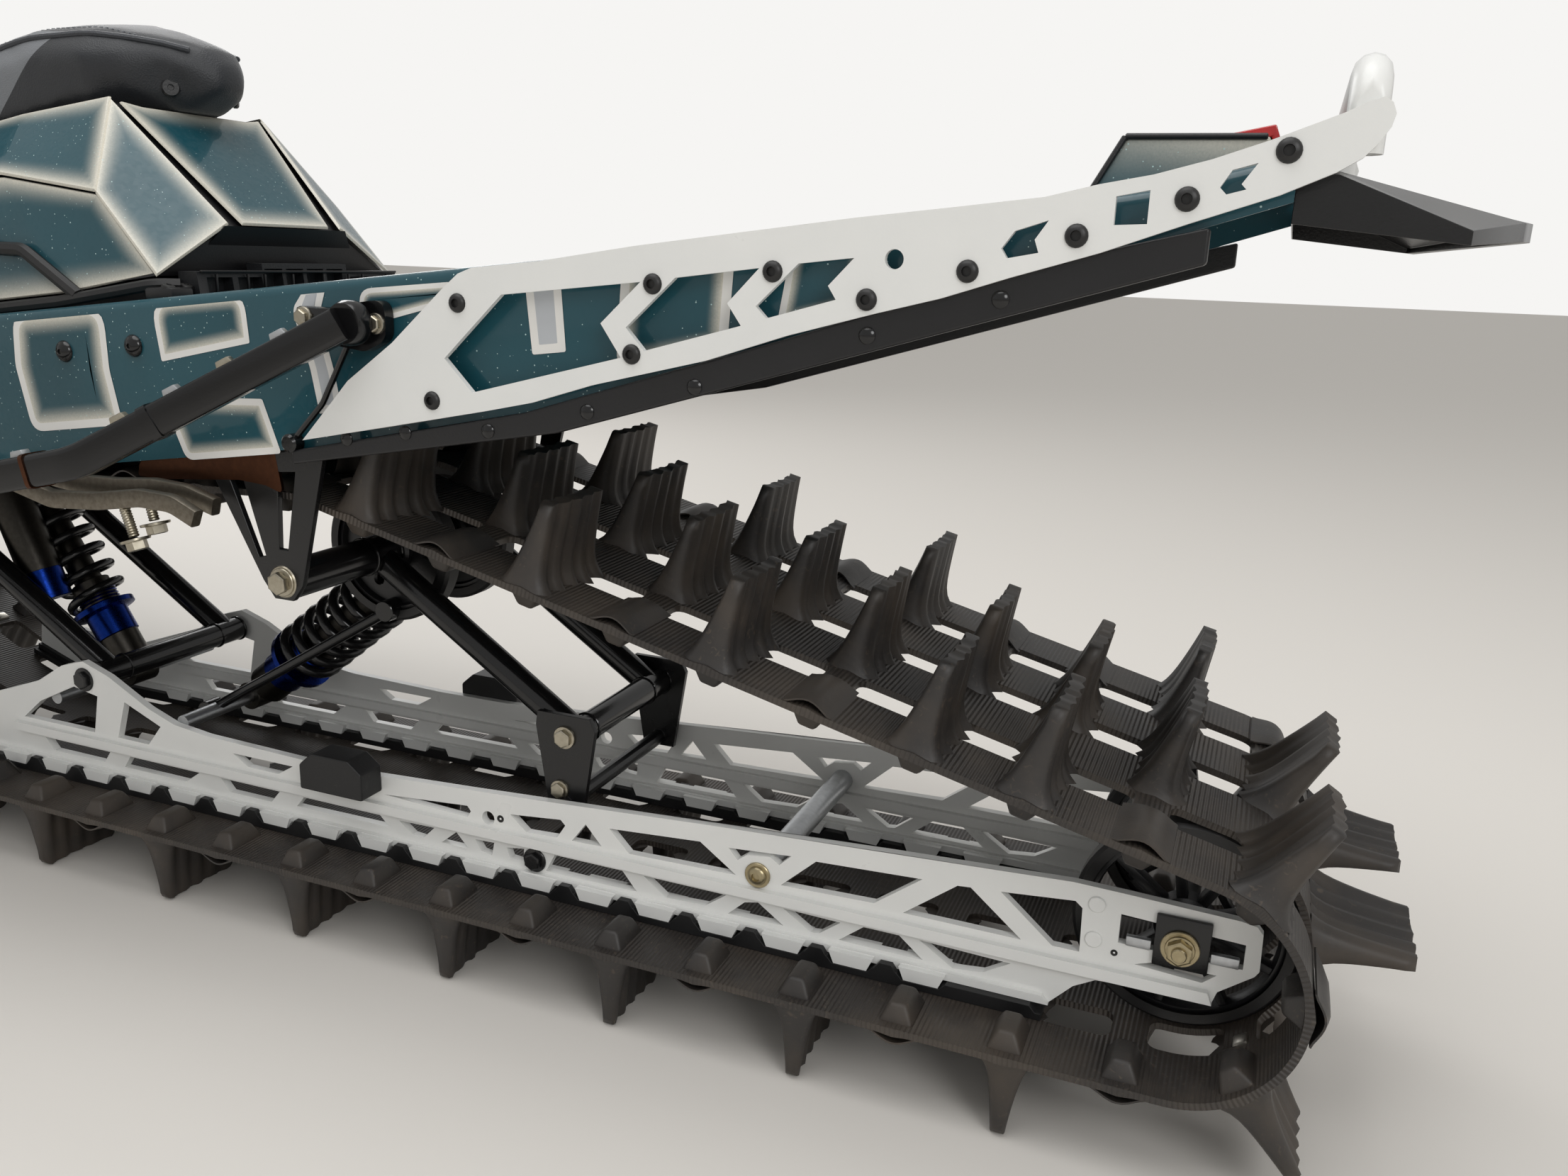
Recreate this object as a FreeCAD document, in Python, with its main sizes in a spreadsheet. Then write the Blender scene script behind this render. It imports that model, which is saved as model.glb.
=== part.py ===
import FreeCAD, Part
import math
import os
from FreeCAD import Rotation, Vector

doc = FreeCAD.newDocument("snowmobile")

# Driving sizes in millimetres and degrees.  Places along the sled count forward from the rear axle,
# places across it count left from its middle plane, and heights count up from the ground.
SIZES = [
    # alias, value
    ("rear_axle_x", -1524),
    ("track_rows", 47),
    ("track_pitch", 88.9),
    ("track_width", 381),
    ("belt_thickness", 6),
    ("lug_height", 76),
    ("lug_root", 17),
    ("lug_crest", 6),
    ("nub_height", 12),
    ("guide_lug_height", 15),
    ("first_row_x", 1186),
    ("idler_radius", 89),
    ("idler_width", 22),
    ("idler_y", 78),
    ("carrier_radius", 74),
    ("carrier_x", 794),
    ("carrier_height", 382),
    ("carrier_y", 48),
    ("sprocket_radius", 95),
    ("drive_axle_height", 325),
    ("approach_radius", 400),
    ("approach_angle", 25),
    ("axle_radius", 9),
    ("rail_outer_y", 124),
    ("rail_thickness", 19),
    ("rail_web", 8),
    ("skirt_span", 31),
    ("skirt_pitch", 63.3),
    ("skirt_length", 30),
    ("skirt_count", 18),
    ("slide_thickness", 12),
    ("slide_width", 32),
    ("slide_strip", 6.2),
    ("running_gap", 0.3),
    ("track_clearance", 14.5),
    ("tunnel_sheet", 3),
    ("tunnel_front_x", 1960),
    ("rail_box_depth", 12),
    ("plate_thickness", 5),
    ("hoop_radius", 11.5),
    ("arm_tube_radius", 14),
    ("board_tube_radius", 14),
    ("board_half_width", 385),
    ("shell_wall", 8),
    ("panel_gap", 0.6),
    ("ski_y", 457),
    ("ski_axis_x", 2640),
    ("ski_width", 165),
    ("ski_thickness", 10),
    ("keel_height", 16),
    ("steering_arm_length", 85),
    ("bar_radius", 11),
    ("grip_radius", 17),
    ("bar_half_width", 365),
    ("post_radius", 15),
    ("a_arm_tube_radius", 11),
]

sheet = doc.addObject("Spreadsheet::Sheet", "sizes")
for row, (alias, value) in enumerate(SIZES, start=1):
    sheet.set("A%d" % row, alias)
    sheet.set("B%d" % row, str(value))
    sheet.setAlias("B%d" % row, alias)
doc.recompute()


class Sizes:
    pass


size = Sizes()
for alias, value in SIZES:
    setattr(size, alias, float(sheet.get(alias)))

subparts = []


def at(x, y, z):
    """A point given from the rear axle, as a vector of the part's frame."""
    return Vector(size.rear_axle_x + x, y, z)


def keep(item, name):
    """Marks an object as one of the sub-parts."""
    item.Label = name
    subparts.append(item)
    return item


def feature(name, shape):
    """A sub-part or tool whose form is worked out from the sizes."""
    item = doc.addObject("Part::Feature", name)
    item.Shape = shape
    return item


def ring(points):
    """A closed wire of straight edges."""
    return Part.makePolygon(list(points) + [points[0]])


def side_prism(outline, y_low, y_high):
    """A solid whose outline is drawn in the side view."""
    wire = ring([at(x, y_low, z) for x, z in outline])
    return Part.Face(wire).extrude(Vector(0, y_high - y_low, 0))


def ruled(rings):
    """A faceted solid through closed polygons of equal corner count, with flat faces."""
    faces = [Part.Face(ring(rings[0])), Part.Face(ring(rings[-1]))]
    for lower, upper in zip(rings, rings[1:]):
        for index, corner in enumerate(lower):
            after = (index + 1) % len(lower)
            quad = [corner, lower[after], upper[after], upper[index]]
            normal = (quad[1] - quad[0]).cross(quad[2] - quad[0])
            if abs(normal.dot(quad[3] - quad[0])) <= 1e-6 * max(normal.Length, 1e-9):
                faces.append(Part.Face(ring(quad)))
            else:
                faces.append(Part.Face(ring(quad[:3])))
                faces.append(Part.Face(ring([quad[0], quad[2], quad[3]])))
    solid = Part.Solid(Part.Shell(faces))
    if solid.Volume < 0:
        solid.reverse()
    return solid


def faceted(corners, left_faces, spans):
    """A solid alike on both sides: its left-hand faces by their corners, and edges that faces span across."""
    points = {name: at(*place) for name, place in corners.items()}
    loops = [[points[name] for name in names] for names in left_faces]
    loops += [[Vector(point.x, -point.y, point.z) for point in loop] for loop in loops]
    for first, second in spans:
        ends = [points[first], points[second]]
        loops.append(ends + [Vector(point.x, -point.y, point.z) for point in reversed(ends)])
    faces = []
    for loop in loops:
        normal = (loop[1] - loop[0]).cross(loop[2] - loop[0]).normalize()
        if max(abs(normal.dot(point - loop[0])) for point in loop) < 1e-6:
            faces.append(Part.Face(ring(loop)))
        else:
            faces += [Part.Face(ring([loop[0], here, there])) for here, there in zip(loop[1:], loop[2:])]
    solid = Part.Solid(Part.Shell(faces))
    if solid.Volume < 0:
        solid.reverse()
    return solid


def rounded_path(points, bend):
    """Straight runs joined by tangent arcs."""
    edges = []
    start = points[0]
    for here, corner, there in zip(points, points[1:], points[2:]):
        back = (here - corner).normalize()
        ahead = (there - corner).normalize()
        half = back.getAngle(ahead) / 2
        reach = min(bend / math.tan(half), 0.45 * (corner - here).Length, 0.45 * (there - corner).Length)
        radius = reach * math.tan(half)
        middle = (back + ahead).normalize()
        first = corner + back * reach
        last = corner + ahead * reach
        top = corner + middle * (radius / math.sin(half) - radius)
        edges.append(Part.LineSegment(start, first).toShape())
        edges.append(Part.Arc(first, top, last).toShape())
        start = last
    edges.append(Part.LineSegment(start, points[-1]).toShape())
    return Part.Wire(edges)


def bar_stations(points, bend):
    """Points along straight runs, with each bend cut into short chords."""
    stations = [points[0]]
    for edge in rounded_path(points, bend).Edges:
        turns = 1
        if isinstance(edge.Curve, Part.Circle):
            turns = max(2, math.ceil(edge.Length / edge.Curve.Radius / math.radians(30)))
        corners = edge.discretize(turns + 1)
        if corners[0].distanceToPoint(stations[-1]) > corners[-1].distanceToPoint(stations[-1]):
            corners.reverse()
        stations += corners[1:]
    return stations


def tube(points, radius, bend=60, sides=8):
    """A bar bent along a path: a many-sided section with flat faces, mitred at each chord."""
    stations = bar_stations(points, bend)
    ways = [(after - before).normalize() for before, after in zip(stations, stations[1:])]
    first = Part.Circle(stations[0], ways[0], radius).toShape().discretize(sides + 1)[:-1]
    rings = [first]
    for index, way in enumerate(ways):
        station = stations[index + 1]
        mitre = way + ways[min(index + 1, len(ways) - 1)]
        rings.append([corner + way * ((station - corner).dot(mitre) / way.dot(mitre)) for corner in rings[-1]])
    return ruled(rings)


def rod(start, end, radius, sides=16):
    """A straight bar, or the room for one, with flat-faced sides."""
    return tube([start, end], radius, sides=sides)


def drum(x, z, y_low, y_high, radius, sides=32):
    """A wheel or bar across the sled with flat-faced sides."""
    turns = [2 * math.pi * (index + 0.5) / sides for index in range(sides)]
    return side_prism([(x + radius * math.cos(turn), z + radius * math.sin(turn)) for turn in turns], y_low, y_high)


def fused(shapes):
    return shapes[0].multiFuse(shapes[1:]).removeSplitter()


def both_sides(shape):
    """The left-hand solid and its mirror image on the right."""
    return Part.makeCompound([shape, mirrored(shape)])


def mirrored(shape):
    return shape.mirror(Vector(0, 0, 0), Vector(0, 1, 0))


def plate(name, outline, cuts, holes, y_middle_cell, thickness_cell):
    """A flat plate in the side view: one padded sketch with straight-sided and round cut-outs."""
    body = doc.addObject("PartDesign::Body", name)
    plane = [item for item in body.Origin.OriginFeatures if item.Role == "XZ_Plane"][0]
    sketch = body.newObject("Sketcher::SketchObject", name + "_outline")
    sketch.AttachmentSupport = (plane, [""])
    sketch.MapMode = "FlatFace"
    for loop in [outline] + cuts:
        corners = [Vector(x, z, 0) for x, z in loop]
        for index, corner in enumerate(corners):
            sketch.addGeometry(Part.LineSegment(corner, corners[(index + 1) % len(corners)]), False)
    for x, z, radius in holes:
        sketch.addGeometry(Part.Circle(Vector(x, z, 0), Vector(0, 0, 1), radius), False)
    pad = body.newObject("PartDesign::Pad", name + "_pad")
    pad.Profile = sketch
    pad.SideType = "Symmetric"
    pad.setExpression("Length", "sizes." + thickness_cell)
    body.setExpression(".Placement.Base.x", "sizes.rear_axle_x")
    body.setExpression(".Placement.Base.y", y_middle_cell)
    sketch.Visibility = False
    return body


# The loop of the track: rear idler, approach bend of the rails, drive sprocket and carrier wheels.
belt_middle = size.belt_thickness / 2
ground_to_belt = size.lug_height + belt_middle
rear_axle_height = size.lug_height + size.belt_thickness + size.idler_radius
half = size.track_width / 2 + size.track_clearance


def angle_of_contact(first, second):
    """Direction of the outward normal where the belt leaves one wheel for the next."""
    dx = second[0] - first[0]
    dz = second[1] - first[1]
    return math.atan2(dz, dx) - math.acos((first[2] - second[2]) / math.hypot(dx, dz))


def loop_wheels(drive_axle_x):
    lift = math.radians(size.approach_angle)
    radius = size.approach_radius
    sprocket = size.sprocket_radius + belt_middle
    normal = Vector(math.sin(lift), 0, -math.cos(lift))
    bend_height = ground_to_belt + radius
    touch_z = size.drive_axle_height + sprocket * normal.z
    bend_end_z = bend_height + radius * normal.z
    run = (touch_z - bend_end_z) / math.tan(lift)
    bend_x = drive_axle_x + sprocket * normal.x - run - radius * normal.x
    return [
        # x, height, radius at the middle of the belt
        (0, rear_axle_height, size.idler_radius + belt_middle),
        (bend_x, bend_height, radius),
        (drive_axle_x, size.drive_axle_height, sprocket),
        (size.carrier_x, size.carrier_height, size.carrier_radius + belt_middle),
    ]


def loop_pieces(wheels):
    """Lines and arcs of the belt's middle line, from the foot of the rear idler forwards."""
    pieces = []
    count = len(wheels)
    leave = [angle_of_contact(wheels[i], wheels[(i + 1) % count]) for i in range(count)]
    for i in range(count):
        x, z, radius = wheels[i]
        following = wheels[(i + 1) % count]
        normal = (math.cos(leave[i]), math.sin(leave[i]))
        start = (x + radius * normal[0], z + radius * normal[1])
        end = (following[0] + following[2] * normal[0], following[1] + following[2] * normal[1])
        pieces.append(("line", start, end, leave[i], math.dist(start, end)))
        turn = (leave[(i + 1) % count] - leave[i]) % (2 * math.pi)
        pieces.append(("arc", following, leave[i], turn, following[2] * turn))
    return pieces


def loop_length(drive_axle_x):
    return sum(piece[-1] for piece in loop_pieces(loop_wheels(drive_axle_x)))


# The drive axle sits where a whole number of pitches closes the loop.
near_x, far_x = 1000, 4000
for step in range(60):
    drive_axle_x = (near_x + far_x) / 2
    if loop_length(drive_axle_x) > size.track_rows * size.track_pitch:
        far_x = drive_axle_x
    else:
        near_x = drive_axle_x
track_loop = loop_pieces(loop_wheels(drive_axle_x))
approach_x = loop_wheels(drive_axle_x)[1][0]


def place_on_loop(distance):
    """Point and outward direction on the belt's middle line."""
    distance %= size.track_rows * size.track_pitch
    for piece in track_loop:
        if distance <= piece[-1]:
            break
        distance -= piece[-1]
    if piece[0] == "line":
        kind, start, end, normal, length = piece
        share = distance / length
        x = start[0] + share * (end[0] - start[0])
        z = start[1] + share * (end[1] - start[1])
    else:
        kind, wheel, first, turn, length = piece
        normal = first + distance / wheel[2]
        x = wheel[0] + wheel[2] * math.cos(normal)
        z = wheel[1] + wheel[2] * math.sin(normal)
    return at(x, 0, z), Vector(math.cos(normal), 0, math.sin(normal))


def loop_wire(offset):
    """The belt's outline at a distance outside its middle line."""
    edges = []
    for piece in track_loop:
        if piece[0] == "line":
            kind, start, end, normal, length = piece
            shift = (offset * math.cos(normal), offset * math.sin(normal))
            first = at(start[0] + shift[0], -size.track_width / 2, start[1] + shift[1])
            last = at(end[0] + shift[0], -size.track_width / 2, end[1] + shift[1])
            edges.append(Part.makeLine(first, last))
        else:
            kind, wheel, first, turn, length = piece
            radius = wheel[2] + offset
            arc = [first, first + turn / 2, first + turn]
            points = [at(wheel[0] + radius * math.cos(a), -size.track_width / 2,
                         wheel[1] + radius * math.sin(a)) for a in arc]
            edges.append(Part.Arc(*points).toShape())
    return Part.Wire(edges)


def block_on_loop(distance, y_root, y_crest, height, root, crest, side):
    """A tapered block that stands on the belt, outside (side 1) or inside (side -1)."""
    middle, outward = place_on_loop(distance)
    outward = outward * side
    along = Vector(-outward.z, 0, outward.x)
    levels = [
        # height above the belt's middle line, thickness, span across the belt
        (0, root, y_root),
        (belt_middle + height, crest, y_crest),
    ]
    rings = []
    for rise, thick, span in levels:
        base = middle + outward * rise
        rings.append([
            base + along * (thick / 2) + Vector(0, span[0], 0),
            base + along * (thick / 2) + Vector(0, span[1], 0),
            base - along * (thick / 2) + Vector(0, span[1], 0),
            base - along * (thick / 2) + Vector(0, span[0], 0),
        ])
    return ruled(rings)


# Track: one belt with staggered rows of tall paddles, edge nubs and inner guide lugs.
half_belt = size.track_width / 2
PADDLES = [
    # root from the left edge, root to, crest from, crest to; the second row is its mirror image
    (0, 102, 30, 98),
    (168, 281, 176, 273),
]
NUB = (319, 381)
DOUBLED_ROW = 18
belt = Part.Face(loop_wire(belt_middle)).cut(Part.Face(loop_wire(-belt_middle)))
belt = belt.extrude(Vector(0, size.track_width, 0))
track_pieces = [belt]
for row in range(int(size.track_rows)):
    # Rows count backwards from the first one on the ground.
    distance = size.first_row_x - row * size.track_pitch
    place = row if row <= DOUBLED_ROW else row - 1
    hand = 1 if place % 2 == 0 else -1
    for root_from, root_to, crest_from, crest_to in PADDLES:
        y_root = sorted(hand * (half_belt - edge) for edge in (root_from, root_to))
        y_crest = sorted(hand * (half_belt - edge) for edge in (crest_from, crest_to))
        track_pieces.append(block_on_loop(distance, y_root, y_crest, size.lug_height,
                                          size.lug_root, size.lug_crest, 1))
    y_nub = sorted(hand * (half_belt - edge) for edge in NUB)
    track_pieces.append(block_on_loop(distance, y_nub, y_nub, size.nub_height,
                                      size.lug_root, size.lug_crest, 1))
    for side in (-1, 1):
        y_guide = sorted((side * (size.rail_outer_y + 16), side * (size.rail_outer_y + 60)))
        track_pieces.append(block_on_loop(distance, y_guide, y_guide, size.guide_lug_height,
                                          26, 12, -1))
keep(feature("track", fused(track_pieces)), "track")

# Rails: two plates on edge with windows, from the rear axle forwards to the approach bend.
rail_bottom = ground_to_belt + belt_middle + size.running_gap + size.slide_thickness
tip_lift = math.radians(size.approach_angle - 1)
tip_radius = size.approach_radius - belt_middle - size.running_gap - size.slide_thickness
tip_x = approach_x + tip_radius * math.sin(tip_lift)
tip_z = rail_bottom + tip_radius * (1 - math.cos(tip_lift))
mid_x = approach_x + tip_radius * math.sin(tip_lift / 2)
mid_z = rail_bottom + tip_radius * (1 - math.cos(tip_lift / 2))
rail_outline = [
    (-28, 128), (61, 124), (78, 114), (96, rail_bottom), (approach_x, rail_bottom), (mid_x, mid_z),
    (tip_x, tip_z), (tip_x - 6, tip_z + 34), (approach_x - 30, rail_bottom + 58), (1240, 190),
    (1200, 214), (1167, 224), (1130, 212), (1075, 184), (1040, 172), (995, 167), (866, 164), (775, 165),
    (666, 171), (553, 178), (405, 188), (236, 198), (86, 206), (45, 205), (-42, 202), (-53, 200),
    (-58, 194), (-59, 163), (-56, 158), (-31, 138),
]
# Openings of the rails' webs, above the ledge and below it.
UPPER_WINDOWS = [
    [(-47, 183), (-47, 161.7), (47, 161.7), (47, 187)],
    [(33, 146), (16, 152), (-29, 152), (-19, 143)],
    [(143, 184), (83, 190), (77, 185), (76, 146), (98, 146)],
    [(179, 181), (168, 182), (123, 145), (224, 145)],
    [(304, 175), (209, 180), (250, 148), (336, 145)],
    [(387, 170), (327, 175), (338, 164), (347, 170), (369, 167), (378, 160)],
    [(508, 163), (415, 170), (379, 145), (487, 142)],
    [(533, 162), (516, 143), (548, 142)],
    [(616, 155), (560, 161), (555, 156), (564, 142), (598, 140)],
    [(765, 146), (665, 154), (661, 149), (665, 142)],
    [(880, 154), (960, 154), (940, 142), (900, 142)],
    [(1060, 166), (1110, 186), (1125, 142), (1080, 142)],
    [(1160, 142), (1150, 186), (1185, 192), (1240, 166), (1270, 142)],
]
LOWER_WINDOWS = [
    [(208, 123), (130, 121), (152, 107), (178, 104)],
    [(258, 123), (226, 123), (204, 105), (280, 105)],
    [(333, 123), (279, 122), (298, 107), (306, 106)],
    [(370, 120), (357, 123), (332, 106), (386, 105)],
    [(472, 123), (388, 123), (408, 108), (449, 106)],
    [(567, 123), (494, 123), (479, 105), (577, 104)],
    [(621, 119), (601, 122), (602, 108), (617, 109)],
    [(657, 120), (635, 121), (638, 107), (650, 109)],
    [(679, 123), (665, 108), (697, 108)],
    [(748, 121), (705, 122), (719, 108), (732, 109)],
    [(868, 122), (771, 122), (760, 111), (878, 110)],
    [(980, 122), (900, 122), (912, 108), (968, 108)],
    [(1110, 122), (1010, 122), (1030, 108), (1120, 108)],
    [(1240, 122), (1140, 122), (1150, 108), (1228, 108)],
]
ledge = [(-28, 128), (1280, 126), (1280, 136), (-24, 138)]
foot_flange = [(96, rail_bottom), (approach_x, rail_bottom), (approach_x, rail_bottom + 7),
               (102, rail_bottom + 7)]
first_skirt_x = 187
skirt_low = ground_to_belt + belt_middle + size.running_gap + size.slide_strip + size.running_gap
skirts = []
for index in range(int(size.skirt_count)):
    x = first_skirt_x + index * size.skirt_pitch
    skirts.append([(x, skirt_low), (x + size.skirt_length, skirt_low),
                   (x + size.skirt_length + 5, rail_bottom + 6), (x - 5, rail_bottom + 6)])


def padded(body, name, loops, holes, thickness_cell):
    """Adds one flat layer of a plate to its body: a sketch in the side view and its pad."""
    plane = [item for item in body.Origin.OriginFeatures if item.Role == "XZ_Plane"][0]
    sketch = body.newObject("Sketcher::SketchObject", name)
    sketch.AttachmentSupport = (plane, [""])
    sketch.MapMode = "FlatFace"
    for loop in loops:
        corners = [Vector(x, z, 0) for x, z in loop]
        for index, corner in enumerate(corners):
            sketch.addGeometry(Part.LineSegment(corner, corners[(index + 1) % len(corners)]), False)
    for x, z, radius in holes:
        sketch.addGeometry(Part.Circle(Vector(x, z, 0), Vector(0, 0, 1), radius), False)
    pad = body.newObject("PartDesign::Pad", name + "_pad")
    pad.Profile = sketch
    pad.SideType = "Symmetric"
    pad.setExpression("Length", "sizes." + thickness_cell)
    sketch.Visibility = False


PLUG_HOLES = [(641, 146, 7)]
for name, sign in (("rail_left", ""), ("rail_right", "-")):
    body = doc.addObject("PartDesign::Body", name)
    padded(body, name + "_web", [rail_outline] + UPPER_WINDOWS + LOWER_WINDOWS, PLUG_HOLES, "rail_web")
    padded(body, name + "_ledge", [ledge], [], "rail_thickness")
    padded(body, name + "_foot", [foot_flange], [], "rail_thickness")
    padded(body, name + "_skirts", skirts, [], "skirt_span")
    body.setExpression(".Placement.Base.x", "sizes.rear_axle_x")
    body.setExpression(".Placement.Base.y", sign + "(sizes.rail_outer_y - sizes.rail_thickness / 2)")
    keep(body, name)

# Slides: plastic runners under the rails, with teeth between the rails' skirts.
rail_middle_y = size.rail_outer_y - size.rail_thickness / 2
slide_top = rail_bottom - size.running_gap
slide_foot = slide_top - size.slide_thickness + size.running_gap
strip_top = slide_foot + size.slide_strip
strip_lift = size.slide_thickness - size.slide_strip
slide_strip = [
    (100, slide_foot), (approach_x, slide_foot), (mid_x + 2, mid_z - size.slide_thickness),
    (tip_x + 2, tip_z - size.slide_thickness), (tip_x + 1, tip_z - strip_lift),
    (mid_x + 1, mid_z - strip_lift), (approach_x, strip_top), (100, strip_top),
]
slide_half = size.slide_width / 2
slide = [side_prism(slide_strip, rail_middle_y - slide_half, rail_middle_y + slide_half)]
front_core = [(approach_x, strip_top - 1), (mid_x + 1, mid_z - strip_lift - 1), (tip_x + 1, tip_z - strip_lift - 1),
              (tip_x, tip_z - size.running_gap), (mid_x, mid_z - size.running_gap), (approach_x, slide_top)]
slide.append(side_prism(front_core, rail_middle_y - 9, rail_middle_y + 9))
for index in range(int(size.skirt_count) + 1):
    back = first_skirt_x + (index - 1) * size.skirt_pitch + size.skirt_length + size.running_gap
    ahead = first_skirt_x + index * size.skirt_pitch - size.running_gap
    if index == 0:
        back = 104
    core = [(back, strip_top - 1), (ahead, strip_top - 1), (ahead - 6, slide_top), (back + 6, slide_top)]
    if index == size.skirt_count:
        core = [(back, strip_top - 1), (approach_x, strip_top - 1), (approach_x, slide_top), (back + 6, slide_top)]
    slide.append(side_prism(core, rail_middle_y - slide_half, rail_middle_y + slide_half))
    if 0 < index < size.skirt_count:
        tooth = [(back + 6, slide_top - 1), (ahead - 6, slide_top - 1), (ahead - 11, slide_top + 6),
                 (back + 11, slide_top + 6)]
        slide.append(side_prism(tooth, rail_middle_y + size.rail_thickness / 2 + size.running_gap,
                                rail_middle_y + slide_half))
keep(feature("slides", both_sides(fused(slide))), "slides")

# Wheels: a rim and hub joined by a thinner web with six windows.
def wheel(x, z, y_middle, radius, width, windows):
    """A disc, with straight-sided windows between its spokes where a number of them is given."""
    disc = drum(x, z, y_middle - width / 2, y_middle + width / 2, radius)
    if not windows:
        return disc
    openings = []
    for index in range(windows):
        turn = 2 * math.pi * index / windows
        spread = math.pi / windows
        corners = []
        for reach, angle in ((0.38, 0.4), (0.80, 0.62), (0.80, -0.62), (0.38, -0.4)):
            a = turn + spread * angle
            corners.append((x + reach * radius * math.cos(a), z + reach * radius * math.sin(a)))
        openings.append(side_prism(corners, y_middle - width, y_middle + width))
    return disc.cut(Part.makeCompound(openings))


# Rear axle with its idler wheels.
axle_reach = size.rail_outer_y + 12
rear_axle = [rod(at(0, -axle_reach, rear_axle_height), at(0, axle_reach, rear_axle_height),
                 size.axle_radius)]
for y_wheel in (-size.idler_y, size.idler_y):
    rear_axle.append(wheel(0, rear_axle_height, y_wheel, size.idler_radius - size.running_gap,
                           size.idler_width, 6))
keep(feature("rear_idlers", fused(rear_axle)), "rear_idlers")

# Carrier wheels on their shaft.
carrier = []
for y_wheel in (-size.carrier_y, size.carrier_y):
    disc = wheel(size.carrier_x, size.carrier_height, y_wheel,
                 size.carrier_radius - size.running_gap, size.idler_width, 0)
    bore = rod(at(size.carrier_x, y_wheel - size.idler_width, size.carrier_height),
               at(size.carrier_x, y_wheel + size.idler_width, size.carrier_height),
               size.arm_tube_radius + 4 + 2 * size.running_gap)
    carrier.append(disc.cut(bore))
keep(feature("carrier_wheels", Part.makeCompound(carrier)), "carrier_wheels")

# Drive shaft with its toothed sprockets.
shaft_reach = half - size.tunnel_sheet - size.running_gap
drive = [rod(at(drive_axle_x, -shaft_reach, size.drive_axle_height),
             at(drive_axle_x, shaft_reach, size.drive_axle_height), 16)]
teeth = 7
for y_wheel in (-109, 109):
    outline = []
    for tooth in range(teeth):
        for reach, share in ((0.72, -0.32), (0.993, -0.13), (0.993, 0.13), (0.72, 0.32)):
            turn = (tooth + share) * 2 * math.pi / teeth
            outline.append((drive_axle_x + reach * size.sprocket_radius * math.cos(turn),
                            size.drive_axle_height + reach * size.sprocket_radius * math.sin(turn)))
    drive.append(side_prism(outline, y_wheel - 15, y_wheel + 15))
keep(feature("drive_shaft", fused(drive)), "drive_shaft")

# Suspension arms, shocks and their brackets.
rear_arm_top = (size.carrier_x, size.carrier_height)
rear_arm_foot = (566, 232)
front_arm_foot = (1167, 203)
front_arm_top = (1435, 372)
inner_y = size.rail_outer_y - size.rail_thickness - size.running_gap
bracket_y = half - size.tunnel_sheet - size.running_gap


def arm(top, foot, top_reach, foot_reach, leg_y):
    """A swing arm: two legs between an upper and a lower cross tube."""
    pieces = [
        tube([at(top[0], -top_reach, top[1]), at(top[0], top_reach, top[1])], size.arm_tube_radius + 4),
        tube([at(foot[0], -foot_reach, foot[1]), at(foot[0], foot_reach, foot[1])], size.arm_tube_radius),
    ]
    for side in (-1, 1):
        pieces.append(tube([at(top[0], side * leg_y, top[1]), at(foot[0], side * leg_y, foot[1])],
                           size.arm_tube_radius - 0.5))
    return fused(pieces)


keep(feature("front_arm", arm(front_arm_top, front_arm_foot, bracket_y - 6.3, inner_y, 84)), "front_arm")
keep(feature("rear_arm", arm(rear_arm_top, rear_arm_foot, bracket_y - 6.3, inner_y - 12, 76)), "rear_arm")

# The tunnel in the side view: its top sheet and its lower edge.
TOP_LINE = [
    # place along the sled, height of the top sheet
    (size.tunnel_front_x, 506), (200, 708), (75, 728), (-10, 750),
]
FOOT_LINE = [
    # place along the sled, height of the lower edge
    (-10, 722), (144, 672), (312, 616), (527, 548), (760, 506), (1130, 452), (1500, 398),
    (size.tunnel_front_x, 330),
]


def foot_height(x):
    """Height of the tunnel's lower edge at a place along the sled."""
    for (x_back, z_back), (x_ahead, z_ahead) in zip(FOOT_LINE, FOOT_LINE[1:]):
        if x <= x_ahead:
            return z_back + (x - x_back) * (z_ahead - z_back) / (x_ahead - x_back)


# Hangers: slotted plates inside the tunnel that carry the upper ends of both arms.
def hanger(pivot, back, ahead, lap, slots):
    """A plate that narrows from the tunnel's side down to the pivot of an arm."""
    x, z = pivot
    outline = [(ahead, foot_height(ahead) + lap), (back, foot_height(back) + lap), (x - 22, z - 1), (x - 10, z - 17),
               (x + 11, z - 17), (x + 23, z - 1)]
    shape = side_prism(outline, bracket_y - 6, bracket_y)
    for slot in slots:
        shape = shape.cut(side_prism([(x + dx, z + dz) for dx, dz in slot], bracket_y - 10, bracket_y + 10))
    return shape


REAR_SLOTS = [[(56, 96), (40, 98), (18, 22), (26, 20)], [(-2, 100), (-22, 102), (-8, 30), (2, 30)]]
hanger_rear = hanger(rear_arm_top, 735, 880, 9, REAR_SLOTS)
hanger_front = hanger(front_arm_top, 1375, 1500, 30, [])
keep(feature("hangers", both_sides(Part.makeCompound([hanger_rear, hanger_front]))), "hangers")


def eye(place, reach=17):
    """The eight-sided knuckle at one end of a shock."""
    x, y, z = place
    return drum(x, z, y - 17, y + 17, reach, 8)


def shock(top, foot, body_radius, spring_radius, spring_share):
    """A coil-over damper between two eyes, on the left side or on the middle plane."""
    upper = at(*top)
    lower = at(*foot)
    along = (lower - upper).normalize()
    length = (lower - upper).Length
    start = upper + along * (length * spring_share[0])
    end = upper + along * (length * spring_share[1])
    pieces = [
        tube([upper, start + along], body_radius, sides=12),
        tube([start, end], spring_radius, sides=16),
        tube([end - along, lower], 8, sides=8),
        eye(top),
        eye(foot),
    ]
    pin = rod(lower - Vector(0, 30, 0), lower + Vector(0, 30, 0), 8 + size.running_gap)
    return fused(pieces).cut(pin)


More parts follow.
